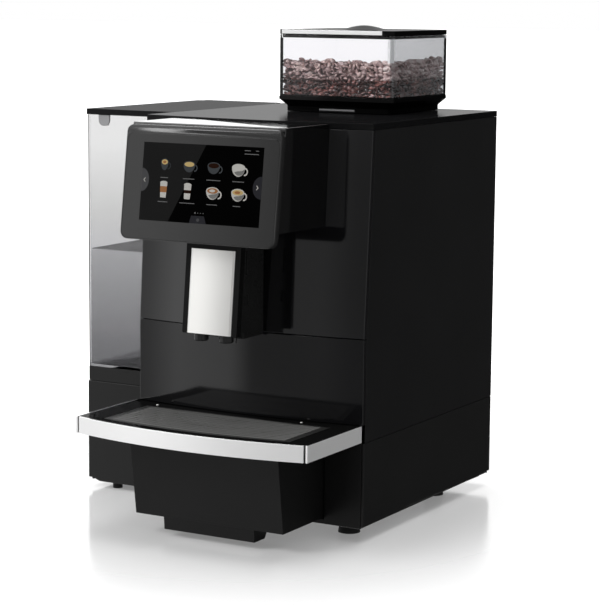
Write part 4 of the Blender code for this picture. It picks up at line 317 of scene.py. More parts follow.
links.new(seen, share.inputs[0])
links.new(fade_in.outputs["Result"], share.inputs[1])
links.new(share.outputs["Value"], glow.inputs["Strength"])
links.new(sheet.outputs["BSDF"], both.inputs[0])
links.new(glow.outputs["Emission"], both.inputs[1])
links.new(rays.outputs["Is Glossy Ray"], choice.inputs["Fac"])
links.new(both.outputs["Shader"], choice.inputs[1])
links.new(let_through.outputs["BSDF"], choice.inputs[2])
links.new(choice.outputs["Shader"], nodes["Material Output"].inputs["Surface"])
floor.data.materials.append(floor_finish)
print("floor is", floor_size, "m square")

# %% [markdown]
# ## Finishes
# Most of the machine is black plastic or coated steel, and what tells one from the other is its
# gloss and its grain. One recipe serves them all: a fine grain that bumps the surface and varies
# its roughness, and a broad, faint change of shade. Metal gets the grain stretched one way, as
# brushing leaves it. The pattern follows the object's own coordinates, so it has one size
# everywhere.


# %% Recipe for a finish
broad_scale = 9
bump_height = 0.0005
smoothest = 0.02
finishes = {}


def finish(name, colour, roughness, metallic=0.0, grain=0.0008, depth=0.02, stretch=(1, 1, 1),
           rough_change=0.08, shade_change=0.15, specular=0.5, coat=0.0, coat_roughness=0.1):
    finishes[name] = made = bpy.data.materials.new(name)
    made.use_nodes = True
    nodes, links = made.node_tree.nodes, made.node_tree.links
    shader = nodes["Principled BSDF"]
    shader.inputs["Metallic"].default_value = metallic
    shader.inputs["Specular IOR Level"].default_value = specular
    shader.inputs["Coat Weight"].default_value = coat
    shader.inputs["Coat Roughness"].default_value = coat_roughness
    place = nodes.new("ShaderNodeTexCoord")
    stretched = nodes.new("ShaderNodeMapping")
    stretched.inputs["Scale"].default_value = stretch
    fine = nodes.new("ShaderNodeTexNoise")
    fine.inputs["Scale"].default_value = 1 / grain
    fine.inputs["Detail"].default_value = 2
    links.new(place.outputs["Object"], stretched.inputs["Vector"])
    links.new(stretched.outputs["Vector"], fine.inputs["Vector"])
    rough = map_range(nodes, to_low=max(smoothest, roughness - rough_change),
                      to_high=roughness + rough_change)
    links.new(fine.outputs["Fac"], rough.inputs["Value"])
    links.new(rough.outputs["Result"], shader.inputs["Roughness"])
    broad = nodes.new("ShaderNodeTexNoise")
    broad.inputs["Scale"].default_value = broad_scale
    broad.inputs["Detail"].default_value = 3
    links.new(place.outputs["Object"], broad.inputs["Vector"])
    shades = nodes.new("ShaderNodeValToRGB")
    dark = [channel * (1 - shade_change) for channel in colour]
    light = [min(1, channel * (1 + shade_change)) for channel in colour]
    fill_ramp(shades, [(0.3, dark), (0.7, light)])
    links.new(broad.outputs["Fac"], shades.inputs["Fac"])
    links.new(shades.outputs["Color"], shader.inputs["Base Color"])
    bump = nodes.new("ShaderNodeBump")
    bump.inputs["Strength"].default_value = depth
    bump.inputs["Distance"].default_value = bump_height
    links.new(fine.outputs["Fac"], bump.inputs["Height"])
    links.new(bump.outputs["Normal"], shader.inputs["Normal"])
    return made


# %% Opaque finishes
finish("gloss_black", (0.004, 0.004, 0.0045), 0.07, rough_change=0.02, depth=0.004, grain=0.004)
finish("satin_black", (0.0045, 0.0045, 0.0048), 0.36, depth=0.10, grain=0.0012, specular=0.22)
finish("cover_black", (0.004, 0.004, 0.0043), 0.40, depth=0.05, grain=0.0010, specular=0.0,
       coat=0.26, coat_roughness=0.16)
finish("matte_black", (0.010, 0.010, 0.010), 0.55, depth=0.25, grain=0.0007, specular=0.25)
finish("brushed_aluminium", (0.89, 0.89, 0.89), 0.50, 0.8, grain=0.0009, stretch=(0.02, 1, 1),
       depth=0.02, rough_change=0.04, shade_change=0.02)
finish("aluminium_cast", (0.60, 0.60, 0.61), 0.50, 1.0, grain=0.0015, depth=0.4)
finish("steel", (0.80, 0.795, 0.775), 0.36, 1.0, grain=0.0008, stretch=(0.02, 1, 1), depth=0.015,
       rough_change=0.04, shade_change=0.02)
finish("chrome", (0.97, 0.97, 0.97), 0.12, 0.15, rough_change=0.02, depth=0.003,
       shade_change=0.02)
finish("brass", (0.68, 0.50, 0.24), 0.30, 1.0, depth=0.1)
finish("rubber", (0.012, 0.012, 0.012), 0.80, depth=0.5, grain=0.0006, specular=0.3)
finish("grey_plastic", (0.20, 0.20, 0.205), 0.50, depth=0.2)
finish("circuit_green", (0.012, 0.080, 0.035), 0.40, depth=0.2, grain=0.002, shade_change=0.4)
finish("screen_black_glass", (0.004, 0.004, 0.004), 0.10, rough_change=0.02, depth=0.002,
       grain=0.01)
finish("display", (0.002, 0.002, 0.002), 0.35, depth=0.01, specular=0.05)
finish("coffee_beans", (0.070, 0.028, 0.018), 0.30, depth=0.4, grain=0.003, coat=0.5)
print(len(finishes), "opaque finishes")

# %% [markdown]
# Two finishes also depend on which way a face looks. The strips round the drip tray are brushed on
# their faces and polished along their upper edges, and the drip grille is painted dark: a painted
# shade, darkest on the upright walls inside its slots.


# %% Value that follows how far a face looks up
upright_until, upward_from = 0.5, 0.95


def by_upward(material, socket_name, upright_value, upward_value):
    nodes, links = material.node_tree.nodes, material.node_tree.links
    split = split_place(nodes, links, "Normal")
    turn = map_range(nodes, upright_until, upward_from, upright_value, upward_value)
    links.new(split.outputs["Z"], turn.inputs["Value"])
    links.new(turn.outputs["Result"], nodes["Principled BSDF"].inputs[socket_name])
    return turn


by_upward(finishes["brushed_aluminium"], "Roughness", 0.50, 0.08)
by_upward(finishes["brushed_aluminium"], "Metallic", 0.80, 1.00)

# %% [markdown]
# The machine's blacks are not all one black. Parts that share a material slot still differ in how
# they were moulded, so these pieces get a finish of their own.

# %% Finishes that belong to single pieces
piece_finish = {}


def own_finish(name, nodes_named, *values, **options):
    finish(name, *values, **options)
    for node in nodes_named:
        piece_finish[node] = name


own_finish("housing_black", ("screen_housing",), (0.0015, 0.0015, 0.0016), 0.07, rough_change=0.02,
           depth=0.003, grain=0.004, specular=0.75)
own_finish("rim_black", ("screen_bezel",), (0.012, 0.012, 0.012), 0.20, depth=0.02, specular=0.6)
own_finish("column_black", ("column_skirt", "tank_ledge"), (0.004, 0.004, 0.004), 0.16, depth=0.01,
           specular=0.20)
own_finish("lower_black", ("lower_front_panel",), (0.004, 0.004, 0.0045), 0.08, rough_change=0.02,
           depth=0.004, grain=0.004, specular=0.33)
own_finish("tub_black", ("tray_tub", "front_frame"), (0.006, 0.006, 0.006), 0.34, depth=0.10,
           grain=0.0010, specular=0.14)
own_finish("deck_black", ("tray_deck",), (0.0035, 0.0035, 0.0035), 0.30, depth=0.05, specular=0.0,
           coat=0.22, coat_roughness=0.05)
own_finish("tip_dark", ("hot_water_tip",), (0.06, 0.06, 0.06), 0.35, depth=0.02)
own_finish("grille_black", ("drip_grille",), (0.030, 0.030, 0.029), 0.38, depth=0.10, specular=0.5)
own_finish("spout_black", ("spout_bezel",), (0.005, 0.005, 0.005), 0.26, depth=0.03, specular=0.08)
own_finish("carriage_black", ("spout_carriage", "nozzle_left", "nozzle_right", "spout_guide"),
           (0.010, 0.010, 0.010), 0.28, depth=0.03, specular=0.30)
own_finish("hopper_black", ("hopper_lid", "hopper_base"), (0.0020, 0.0020, 0.0021), 0.30,
           depth=0.005, grain=0.004, specular=0.0, coat=0.20, coat_roughness=0.05)
own_finish("skirt_black", ("right_skirt",), (0.005, 0.005, 0.005), 0.36, depth=0.10, grain=0.0012,
           specular=0.22)
own_finish("valve_white", ("tank_valve",), (0.55, 0.56, 0.57), 0.45, depth=0.05)
own_finish("tank_lid_black", ("tank_lid",), (0.006, 0.006, 0.0063), 0.40, depth=0.05,
           grain=0.0010, specular=0.0, coat=0.13, coat_roughness=0.16)
print(len(piece_finish), "solids have a finish of their own")

# %% Drip grille: painted shade inside its slots, where nothing shines
painted_slot_shade = by_upward(finishes["grille_black"], "Specular IOR Level", 0.0, 0.5)
grille_tree = finishes["grille_black"].node_tree
nodes, links = grille_tree.nodes, grille_tree.links
base_socket = nodes["Principled BSDF"].inputs["Base Color"]
# painted shade: the grille's colour is scaled to black on the slot walls and to half on its top
slot_shade_scale = nodes.new("ShaderNodeVectorMath")
slot_shade_scale.operation = "SCALE"
links.new(base_socket.links[0].from_socket, slot_shade_scale.inputs[0])
links.new(painted_slot_shade.outputs["Result"], slot_shade_scale.inputs["Scale"])
links.new(slot_shade_scale.outputs["Vector"], base_socket)

# %% Tank lid: a black plate with a grey finger tab under its front edge
lid_sinks_in = 0.0004
plate_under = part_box("top_cover")[0][2] - lid_sinks_in
tab_grey = (0.30, 0.30, 0.305, 1)
lid_tree = finishes["tank_lid_black"].node_tree
nodes, links = lid_tree.nodes, lid_tree.links
base_socket = nodes["Principled BSDF"].inputs["Base Color"]
above_tab = nodes.new("ShaderNodeMath")
above_tab.operation = "GREATER_THAN"
above_tab.inputs[1].default_value = plate_under
links.new(split_place(nodes, links).outputs["Z"], above_tab.inputs[0])
links.new(mix_colours(nodes, links, above_tab.outputs["Value"], tab_grey,
                      base_socket.links[0].from_socket), base_socket)

# %% [markdown]
# Clear plastic bends light, so it needs full transmission and an index of refraction. The smoke
# grey tank is painted darker towards its foot and darkest in a band at its floor, a painted shade,
# and its upright corner at the front left is painted dark. The water's top is painted dark too. The
# hopper's right pane is painted greyer than its front one, and the panes are painted near black
# along their foot: painted shade. These tints follow the object's own axes.

# %% Clear finishes
haze_scale = 60
haze_share = 1.6


def clear_finish(name, colour, roughness, index):
    finishes[name] = made = bpy.data.materials.new(name)
    made.use_nodes = True
    nodes, links = made.node_tree.nodes, made.node_tree.links
    shader = nodes["Principled BSDF"]
    shader.inputs["Base Color"].default_value = (*colour, 1)
    shader.inputs["Transmission Weight"].default_value = 1
    shader.inputs["IOR"].default_value = index
    place = nodes.new("ShaderNodeTexCoord")
    haze = nodes.new("ShaderNodeTexNoise")
    haze.inputs["Scale"].default_value = haze_scale
    links.new(place.outputs["Object"], haze.inputs["Vector"])
    rough = map_range(nodes, to_low=roughness, to_high=roughness * haze_share)
    links.new(haze.outputs["Fac"], rough.inputs["Value"])
    links.new(rough.outputs["Result"], shader.inputs["Roughness"])
    return made


def tint_along(material, axis, stops, low, high):
    # Multiplies a clear finish's tints by a ramp along one axis; stops are (metres, colour).
    # The first ramp is the finish's colour itself.
    nodes, links = material.node_tree.nodes, material.node_tree.links
    base_socket = nodes["Principled BSDF"].inputs["Base Color"]
    along = map_range(nodes, low, high)
    links.new(split_place(nodes, links).outputs[axis], along.inputs["Value"])
    ramp = nodes.new("ShaderNodeValToRGB")
    fill_ramp(ramp, [((metres - low) / (high - low), colour) for metres, colour in stops])
    links.new(along.outputs["Result"], ramp.inputs["Fac"])
    tint = ramp.outputs["Color"]
    if base_socket.links:
        tint = mix_colours(nodes, links, 1, base_socket.links[0].from_socket, tint, "MULTIPLY")
    links.new(tint, base_socket)


def paint_corner_shade(material, low, depth, colour):
    # Paints the upright corner at the front left dark: painted shade for the thick corner seen end
    # on.
    nodes, links = material.node_tree.nodes, material.node_tree.links
    base_socket = nodes["Principled BSDF"].inputs["Base Color"]
    split = split_place(nodes, links)
    corner = nodes.new("ShaderNodeMath")
    corner.operation = "MULTIPLY"
    for number, (axis, limit) in enumerate((("X", low[0] + depth), ("Y", low[1] + depth))):
        near = nodes.new("ShaderNodeMath")
        near.operation = "LESS_THAN"
        near.inputs[1].default_value = limit
        links.new(split.outputs[axis], near.inputs[0])
        links.new(near.outputs["Value"], corner.inputs[number])
    links.new(mix_colours(nodes, links, corner.outputs["Value"], base_socket.links[0].from_socket,
                          (*colour, 1)), base_socket)


# %% Tank, water and hopper
water_top = 0.3015
tank_low, tank_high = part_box("water_tank")
box_low, box_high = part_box("hopper_box")
tank_clear = clear_finish("tank_clear", (0.85, 0.85, 0.85), 0.02, 1.06)
# painted shade: the tank's tint darkens towards its foot, with a darker band at its floor
tint_along(tank_clear, "Z", (
    (tank_low[2] + 0.0024, grey(0.28, 0.01)), (tank_low[2] + 0.0030, grey(0.46, 0.01)),
    (0.210, grey(0.56, 0.01)), (water_top, grey(0.72, 0.01)), (water_top + 0.04, grey(0.76)),
    (0.43, grey(0.89))), tank_low[2], tank_high[2])
# painted shade on the tank's upright corner at the front left
paint_corner_shade(tank_clear, tank_low, 0.0030, grey(0.003))
water_clear = clear_finish("water", (0.80, 0.81, 0.82), 0.005, 1.01)
# painted shade: the water's top is painted near black, so its surface shows as a dark line
tint_along(water_clear, "Z", (
    (water_top - 0.0010, grey(0.70, 0.005)), (water_top - 0.0002, grey(0.10))),
    tank_low[2], water_top)
hopper_clear = clear_finish("hopper_clear", (0.97, 0.97, 0.98), 0.01, 1.25)
# painted shade: the hopper's right pane is painted grey
tint_along(hopper_clear, "X", (
    (box_high[0] - 0.0036, (0.97, 0.965, 0.98)), (box_high[0] - 0.0029, (0.47, 0.48, 0.49))),
    box_low[0], box_high[0])
# painted shade: the panes are painted near black along their foot, where the beans meet the base
tint_along(hopper_clear, "Z", (
    (box_low[2] + 0.0052, grey(0.02)), (box_low[2] + 0.0058, grey(1.0))), box_low[2], box_high[2])
print(len(finishes), "finishes")

# %% [markdown]
# ## Edges
# Nothing on the real machine has a knife edge: every moulded or folded corner has a small radius,
# and it is that radius that catches the light. Each solid is copied, its loose triangles are
# merged back into whole faces, and a Bevel modifier rounds what is sharper than 30 degrees.


# %% Round the edges of a solid
same_point = 0.00002
same_plane = math.radians(0.6)
soft_corner = math.radians(32)
sharp_corner = math.radians(30)
rounding_steps = 2


def soften(node, radius, whole_faces=True):
    source = frame["nodes"][node]
    piece = source.copy()
    piece.data = source.data.copy()
    piece.name = node + "_finished"
    piece.parent = None
    piece.matrix_world = Matrix.Identity(4)
    bpy.context.scene.collection.objects.link(piece)
    pick_only(piece)
    bpy.ops.object.mode_set(mode="EDIT")
    bpy.ops.mesh.select_all(action="SELECT")
    bpy.ops.mesh.remove_doubles(threshold=same_point)
    if whole_faces:
        bpy.ops.mesh.dissolve_limited(angle_limit=same_plane)
    bpy.ops.object.mode_set(mode="OBJECT")
    bpy.ops.object.shade_smooth_by_angle(angle=soft_corner)
    if radius > 0:
        bevel = piece.modifiers.new("edge_radius", "BEVEL")
        bevel.width = radius
        bevel.segments = rounding_steps
        bevel.limit_method = "ANGLE"
        bevel.angle_limit = sharp_corner
        bevel.harden_normals = True
        apply_all(piece)
    piece.data.materials.clear()
    piece.data.materials.append(finishes[piece_finish.get(node, slot_of_node[node])])
    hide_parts(node)
    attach(piece, body_of_node[node])
    return node


def dress(piece, name, body, material):
    # Names a new piece, gives it its finish and lets it ride on its body.
    piece.name = name
    piece.data.name = name
    piece.data.materials.clear()
    piece.data.materials.append(finishes[material])
    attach(piece, body)


# %% Edge radii, in metres, by piece
edge_radii = {
    0.0010: ("screen_housing", "tray_tub", "hopper_lid", "top_cover", "tank_lid", "grounds_bin"),
    0.0008: ("upper_front_panel", "lower_front_panel", "tray_deck", "column_skirt", "right_skirt",
             "front_frame", "tank_ledge", "hopper_base", "spout_carriage", "water_tank"),
    0.0005: ("trim_front", "trim_left", "trim_right", "right_side_panel", "left_side_panel",
             "rear_panel", "spout_bezel", "hopper_box", "spout_guide", "power_rocker",
             "power_inlet", "base_pan", "column_pan", "brew_frame", "pump", "tank_valve"),
    0.0003: ("screen_glass", "screen_bezel", "hopper_shutter", "lid_trim", "nozzle_left",
             "nozzle_right", "runner_left", "runner_right", "equipment_shelf", "switch_frame",
             "hot_water_tip", "grinder_body", "brew_chamber", "brew_piston", "boiler"),
    0.0: ("spout_plate", "display_panel", "control_board", "burr_cone", "water_pipe",
          "foot_front_left", "foot_front_right", "foot_rear_left", "foot_rear_right",
          "foot_column_front", "foot_column_rear"),
}
finished = {soften("drip_grille", 0, whole_faces=False)}
for radius, names in edge_radii.items():
    for node in names:
        finished.add(soften(node, radius))
print("finished", len(finished), "solids; still plain:", sorted(set(frame["nodes"]) - finished))

# %% [markdown]
# ## Coffee beans
# A roasted bean is half an egg with a groove along its flat side. One is modelled from a small
# sphere: its lower half is pressed flat and the middle of that side pushed in. Then it is copied
# many times in the outer layers of the heap, since nobody sees the inside.

# %% One bean
bean_half = (0.0044, 0.0032, 0.0026)
flat_below, flat_at = -0.05, -0.28
groove_half, groove_at = 0.25, 0.02
bpy.ops.object.select_all(action="DESELECT")
bpy.ops.mesh.primitive_uv_sphere_add(segments=8, ring_count=6, radius=1,
                                     rotation=(0, math.pi / 2, 0))
bean = bpy.context.active_object
bean.name = "bean_pattern"
bpy.ops.object.transform_apply(rotation=True)
shape = bmesh.new()
shape.from_mesh(bean.data)
for vertex in shape.verts:
    if vertex.co.z < flat_below:
        vertex.co.z = groove_at if abs(vertex.co.y) < groove_half else flat_at
    vertex.co = Vector([vertex.co[axis] * bean_half[axis] for axis in range(3)])
bean_shape = bpy.data.meshes.new("bean_shape")
shape.to_mesh(bean_shape)
shape.free()
bpy.data.objects.remove(bean)
print("one bean has", len(bean_shape.polygons), "faces")

# %% [markdown]
# The heap stands level along the front and right panes, where it was poured, and falls away
# towards the back left. A fixed seed makes the same heap each time. A bean that would cross a wall
# is moved back inside.

# %% The heap of beans
heap_low, heap_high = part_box("bean_fill")
bean_gap = 0.0003
bean_shift = 0.0013
bean_sizes = (0.88, 1.10)
random.seed(7)
heap = bmesh.new()
pitch = 0.0060
layer_rise = 0.0048
lowest_layer = heap_low[2] + 0.0024
columns = round((heap_high[0] - heap_low[0]) / pitch)
rows = round((heap_high[1] - heap_low[1]) / pitch)
front_level = heap_high[2] - 0.0058
slope_back, slope_left, slope_up_back = 0.19, 0.33, 0.03


def heap_top(x, y):
    behind_front = y - heap_low[1]
    left_of_pane = heap_high[0] - x
    front_bank = front_level - slope_back * behind_front
    right_bank = front_level + slope_up_back * behind_front - slope_left * left_of_pane
    bumps = 0.0008 * math.sin(190 * x + 1.1) + 0.0007 * math.sin(330 * x - 120 * y)
    return max(front_bank, right_bank) + bumps


def drop_bean(x, y, z):
    turn = Matrix.Rotation(random.uniform(0, math.tau), 4, "Z") @ Matrix.Rotation(
        random.uniform(0, math.tau), 4, "X") @ Matrix.Rotation(random.gauss(0, 0.5), 4, "Y")
    turn = turn @ Matrix.Scale(random.uniform(*bean_sizes), 4)
    spot = Vector((x, y, z)) + Vector([random.uniform(-1, 1) * bean_shift for axis in range(3)])
    points = [turn @ vertex.co + spot for vertex in bean_shape.vertices]
    for axis in range(3):
        lowest = min(point[axis] for point in points)
        highest = max(point[axis] for point in points)
        if lowest < heap_low[axis] + bean_gap:
            spot[axis] += heap_low[axis] + bean_gap - lowest
        if axis < 2 and highest > heap_high[axis] - bean_gap:
            spot[axis] -= highest - heap_high[axis] + bean_gap
    first = len(heap.verts)
    heap.from_mesh(bean_shape)
    heap.verts.ensure_lookup_table()
    move = Matrix.Translation(spot) @ turn
    for vertex in heap.verts[first:]:
        vertex.co = move @ vertex.co


count = 0
for i in range(columns):
    for j in range(rows):
        x = heap_low[0] + (i + 0.5) * (heap_high[0] - heap_low[0]) / columns
        y = heap_low[1] + (j + 0.5) * (heap_high[1] - heap_low[1]) / rows
        top = heap_top(x, y)
        levels = max(2, round((top - heap_low[2]) / layer_rise))
        at_wall = i < 2 or j < 2 or i > columns - 3 or j > rows - 2
        for k in range(levels):
            if at_wall or k > levels - 3:
                drop_bean(x, y, lowest_layer + k * (top - lowest_layer) / (levels - 1))
                count += 1
heap_mesh = bpy.data.meshes.new("coffee_beans")
heap.to_mesh(heap_mesh)
heap.free()
beans = bpy.data.objects.new("coffee_beans", heap_mesh)
bpy.context.scene.collection.objects.link(beans)
pick_only(beans)
bpy.ops.object.shade_smooth()
print("beans:", count, "triangles:", sum(len(face.vertices) - 2 for face in heap_mesh.polygons))

# %% [markdown]
# Each bean has its own roast. The colour comes from Voronoi cells about one bean wide, so whole
# beans differ instead of being speckled. The upper beans are painted paler, painted light on the
# top of the heap, and those near the right pane are painted palest of all, painted light seen
# through that pane.

# %% Bean finish
bean_cells = 150
top_light_from, top_light_until = 0.5130, 0.5160
right_light_from, right_light_until = heap_high[0] - 0.016, heap_high[0] - 0.012
roast = finishes["coffee_beans"]
nodes, links = roast.node_tree.nodes, roast.node_tree.links
place = nodes.new("ShaderNodeTexCoord")
cells = nodes.new("ShaderNodeTexVoronoi")
cells.inputs["Scale"].default_value = bean_cells
links.new(place.outputs["Object"], cells.inputs["Vector"])
one = nodes.new("ShaderNodeSeparateColor")
links.new(cells.outputs["Color"], one.inputs["Color"])


def roast_tones(dark, middle, light):
    tones = nodes.new("ShaderNodeValToRGB")
    fill_ramp(tones, [(0, dark), (1, light), (0.6, middle)])
    links.new(one.outputs["Red"], tones.inputs["Fac"])
    return tones.outputs["Color"]


deep_tones = roast_tones((0.040, 0.012, 0.010), (0.120, 0.046, 0.040), (0.330, 0.130, 0.110))
# painted light: paler tones for the top of the heap, palest near the right pane
top_lit_tones = roast_tones((0.220, 0.130, 0.125), (0.520, 0.370, 0.360), (0.900, 0.700, 0.660))
right_lit_tones = roast_tones((0.400, 0.250, 0.240), (0.800, 0.600, 0.580), (0.970, 0.850, 0.820))
split = split_place(nodes, links)
top_light_share = map_range(nodes, top_light_from, top_light_until)
links.new(split.outputs["Z"], top_light_share.inputs["Value"])
right_light_share = map_range(nodes, right_light_from, right_light_until)
links.new(split.outputs["X"], right_light_share.inputs["Value"])
lit_upper_tones = mix_colours(nodes, links, right_light_share.outputs["Result"], top_lit_tones, right_lit_tones)
links.new(mix_colours(nodes, links, top_light_share.outputs["Result"], deep_tones, lit_upper_tones),
          nodes["Principled BSDF"].inputs["Base Color"])
dress(beans, "coffee_beans_heap", "housing", "coffee_beans")
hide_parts("bean_fill")

# %% [markdown]
# ## Hopper posts and lip
# The hopper's clear panes are bonded at their upright corners by slim quarter-round posts, black at
# the front left and the back right. At the front right, above the beans, a white post is a painted
# highlight for the bright corner of the clear pane. The panes stand in a low black lip. A post is a
# circle drawn at the corner's own centre, pulled up, cut down to a quarter and given thickness. The
# lip is a block without top and bottom, its upright edges rounded.

# %% Corner posts
# painted highlight: a white finish for the bright corner of the clear pane
finish("corner_highlight_white", (0.93, 0.93, 0.94), 0.30, depth=0.01, shade_change=0.02)
corner_radius = 0.0060
corner_steps = 12
post_margin = 0.0003
post_wall = 0.0022
post_top = box_high[2] - 0.0040


def corner_post(name, right, back, finish_name, foot):
    x = box_high[0] - corner_radius if right else box_low[0] + corner_radius
    y = box_high[1] - corner_radius if back else box_low[1] + corner_radius
    bpy.ops.object.select_all(action="DESELECT")
    bpy.ops.mesh.primitive_circle_add(vertices=4 * corner_steps, radius=corner_radius - post_margin,
                                      location=(x, y, foot))
    post = bpy.context.active_object
    bpy.ops.object.transform_apply(location=True)
    bpy.ops.object.mode_set(mode="EDIT")
    bpy.ops.mesh.select_all(action="SELECT")
    bpy.ops.mesh.extrude_region_move(TRANSFORM_OT_translate={"value": (0, 0, post_top - foot)})
    for centre, normal, keep_outer in (((x, y, 0), (1, 0, 0), right), ((x, y, 0), (0, 1, 0), back)):
        bpy.ops.mesh.select_all(action="SELECT")
        bpy.ops.mesh.bisect(plane_co=centre, plane_no=normal, clear_inner=keep_outer,
                            clear_outer=not keep_outer)
    bpy.ops.mesh.select_all(action="SELECT")
    bpy.ops.mesh.remove_doubles(threshold=same_point)
    bpy.ops.mesh.normals_make_consistent(inside=False)
    bpy.ops.object.mode_set(mode="OBJECT")
    middle = post.data.polygons[len(post.data.polygons) // 2]
    outward = Vector((middle.center[0] - x, middle.center[1] - y, 0))
    if middle.normal.dot(outward) < 0:
        post.data.flip_normals()
    thicken(post, post_wall)
    bpy.ops.object.shade_smooth_by_angle(angle=soft_corner)
    dress(post, name, "housing", finish_name)
    print(name, "is", round((post_top - foot) * 1000, 1), "mm tall")


bean_level = 0.5350
corner_post("hopper_post_front_left", False, False, "hopper_black", heap_low[2])
corner_post("hopper_post_back_right", True, True, "hopper_black", heap_low[2])
# painted highlight: the white post stands for the bright corner of the clear pane
corner_post("hopper_post_front_right", True, False, "corner_highlight_white", bean_level)

# %% Lip round the foot of the panes
lip_proud = 0.0004
lip_thickness = 0.0003
lip_rise = 0.0038
lip_steps = 6
base_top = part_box("hopper_base")[1][2]
lip = block((box_low[0] - lip_proud, box_low[1] - lip_proud, base_top),
            (box_high[0] + lip_proud, box_high[1] + lip_proud, base_top + lip_rise))
select_parts("FACE", lip.data.polygons, lambda face: abs(face.normal.z) > upward_from)
bpy.ops.mesh.delete(type="FACE")


def stands_upright(edge):
    one_end, other_end = [lip.data.vertices[number].co.z for number in edge.vertices]
    return abs(one_end - other_end) > lip_rise / 2


select_parts("EDGE", lip.data.edges, stands_upright)
bpy.ops.mesh.bevel(offset=corner_radius, segments=lip_steps)
bpy.ops.object.mode_set(mode="OBJECT")
thicken(lip, lip_thickness)
bpy.ops.object.shade_smooth_by_angle(angle=soft_corner)
dress(lip, "hopper_lip", "housing", "hopper_black")
print("lip has", len(lip.data.polygons), "faces")

# %% [markdown]
# ## Slats of the grille
# A cup stands on twelve flat slats that follow the bow of the tray's front, with narrow gaps
# between them for the drips. They would be cut from one sheet. One slat is a circle of the front's
# own radius, widened inward to a band, cut to its length and given thickness. The others are made
# the same way further back, where the straight rear edge of the grille cuts them off.

# %% Slats
finish("slat_black", (0.125, 0.125, 0.122), 0.42, depth=0.03, grain=0.002)
grille_low, grille_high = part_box("drip_grille")
slat_count = 12
slat_pitch = 0.0078
slat_width = 0.0056
slat_thickness = 0.0004
slat_top = grille_high[2] + 0.0002
slat_margin = 0.0085
slat_rear_margin = 0.0045
bow_radius = 0.567
bow_steps = 360
inner_share = 1 - slat_width / bow_radius
first_front = grille_low[1] + 0.0060
grille_middle = (grille_low[0] + grille_high[0]) / 2
slats = []
for index in range(slat_count):
    centre = (grille_middle, first_front + index * slat_pitch + bow_radius, slat_top)
    bpy.ops.object.select_all(action="DESELECT")
    bpy.ops.mesh.primitive_circle_add(vertices=bow_steps, radius=bow_radius, location=centre)
    slat = bpy.context.active_object
    bpy.ops.object.transform_apply(location=True)
    bpy.ops.object.mode_set(mode="EDIT")
    bpy.ops.mesh.select_all(action="SELECT")
    bpy.ops.mesh.extrude_region()
    bpy.ops.transform.resize(value=(inner_share, inner_share, 1), center_override=centre)
    for spot, normal, keep_inner in (((grille_low[0] + slat_margin, 0, 0), (1, 0, 0), False),
                                     ((grille_high[0] - slat_margin, 0, 0), (1, 0, 0), True),
                                     ((0, grille_high[1] - slat_rear_margin, 0), (0, 1, 0), True)):
        bpy.ops.mesh.select_all(action="SELECT")
        bpy.ops.mesh.bisect(plane_co=spot, plane_no=normal, clear_inner=not keep_inner,
                            clear_outer=keep_inner)
    bpy.ops.object.mode_set(mode="OBJECT")
    if slat.data.polygons[0].normal.z < 0:
        slat.data.flip_normals()
    thicken(slat, slat_thickness)
    slats.append(slat)
slat_sheet = join_all(slats)
bpy.ops.object.shade_smooth_by_angle(angle=soft_corner)
dress(slat_sheet, "grille_slats", body_of_node["drip_grille"], "slat_black")
print("slats have", len(slat_sheet.data.polygons), "faces")

# %% [markdown]
# ## Locating studs
# Two small domed studs at the back corners of the grille keep it from sliding. Each is a short
# cylinder whose upper edge is rounded over until it is nearly a dome.

# %% Studs
deck_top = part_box("tray_deck")[1][2]
stud_radius = 0.0017
stud_height = 0.0012
stud_sides = 24
stud_behind_grille = 0.0075
dome_share, dome_steps = 0.85, 4
for side, stud_x in (("left", grille_low[0] + 0.010), ("right", grille_high[0] - 0.040)):
    bpy.ops.object.select_all(action="DESELECT")
    bpy.ops.mesh.primitive_cylinder_add(
        vertices=stud_sides, radius=stud_radius, depth=stud_height,
        location=(stud_x, grille_high[1] + stud_behind_grille, deck_top + stud_height / 2))
    stud = bpy.context.active_object
    bpy.ops.object.transform_apply(location=True)
    select_parts("FACE", stud.data.polygons, lambda face: face.normal.z > upward_from)
    bpy.ops.mesh.bevel(offset=stud_height * dome_share, segments=dome_steps)
    bpy.ops.object.mode_set(mode="OBJECT")
    bpy.ops.object.shade_smooth()
    dress(stud, "grille_stud_" + side, body_of_node["tray_deck"], "steel")
    print(side, "stud has", len(stud.data.polygons), "faces")

# %% [markdown]
# ## Water
# The tank is about half full. The water is a block just inside the tank's walls, and the lower half
# of the tank looks darker through it. Its surface shows as a thin dark plane because its top is
# painted dark, a painted shade. Room is cut in it for the valve.

# %% Water in the tank
water_gap = 0.0029
water_rounding = 0.0012
valve_clearance = 0.0005
valve_sides = 32
water = block((tank_low[0] + water_gap, tank_low[1] + water_gap, tank_low[2] + water_gap),
              (tank_high[0] - water_gap, tank_high[1] - water_gap, water_top))
valve_low, valve_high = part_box("tank_valve")
bpy.ops.mesh.primitive_cylinder_add(
    vertices=valve_sides, radius=(valve_high[0] - valve_low[0]) / 2 + valve_clearance,
    depth=2 * (valve_high[2] - tank_low[2]),
    location=((valve_low[0] + valve_high[0]) / 2, (valve_low[1] + valve_high[1]) / 2, tank_low[2]))
valve_room = bpy.context.active_object
hollow = water.modifiers.new("valve_room", "BOOLEAN")
hollow.object = valve_room
hollow.operation = "DIFFERENCE"
rounding = water.modifiers.new("meniscus", "BEVEL")
rounding.width = water_rounding
rounding.segments = rounding_steps
apply_all(water)
bpy.data.objects.remove(valve_room)
dress(water, "tank_water", "tank", "water")
print("water stands", round((water_top - tank_low[2]) * 1000), "mm deep")

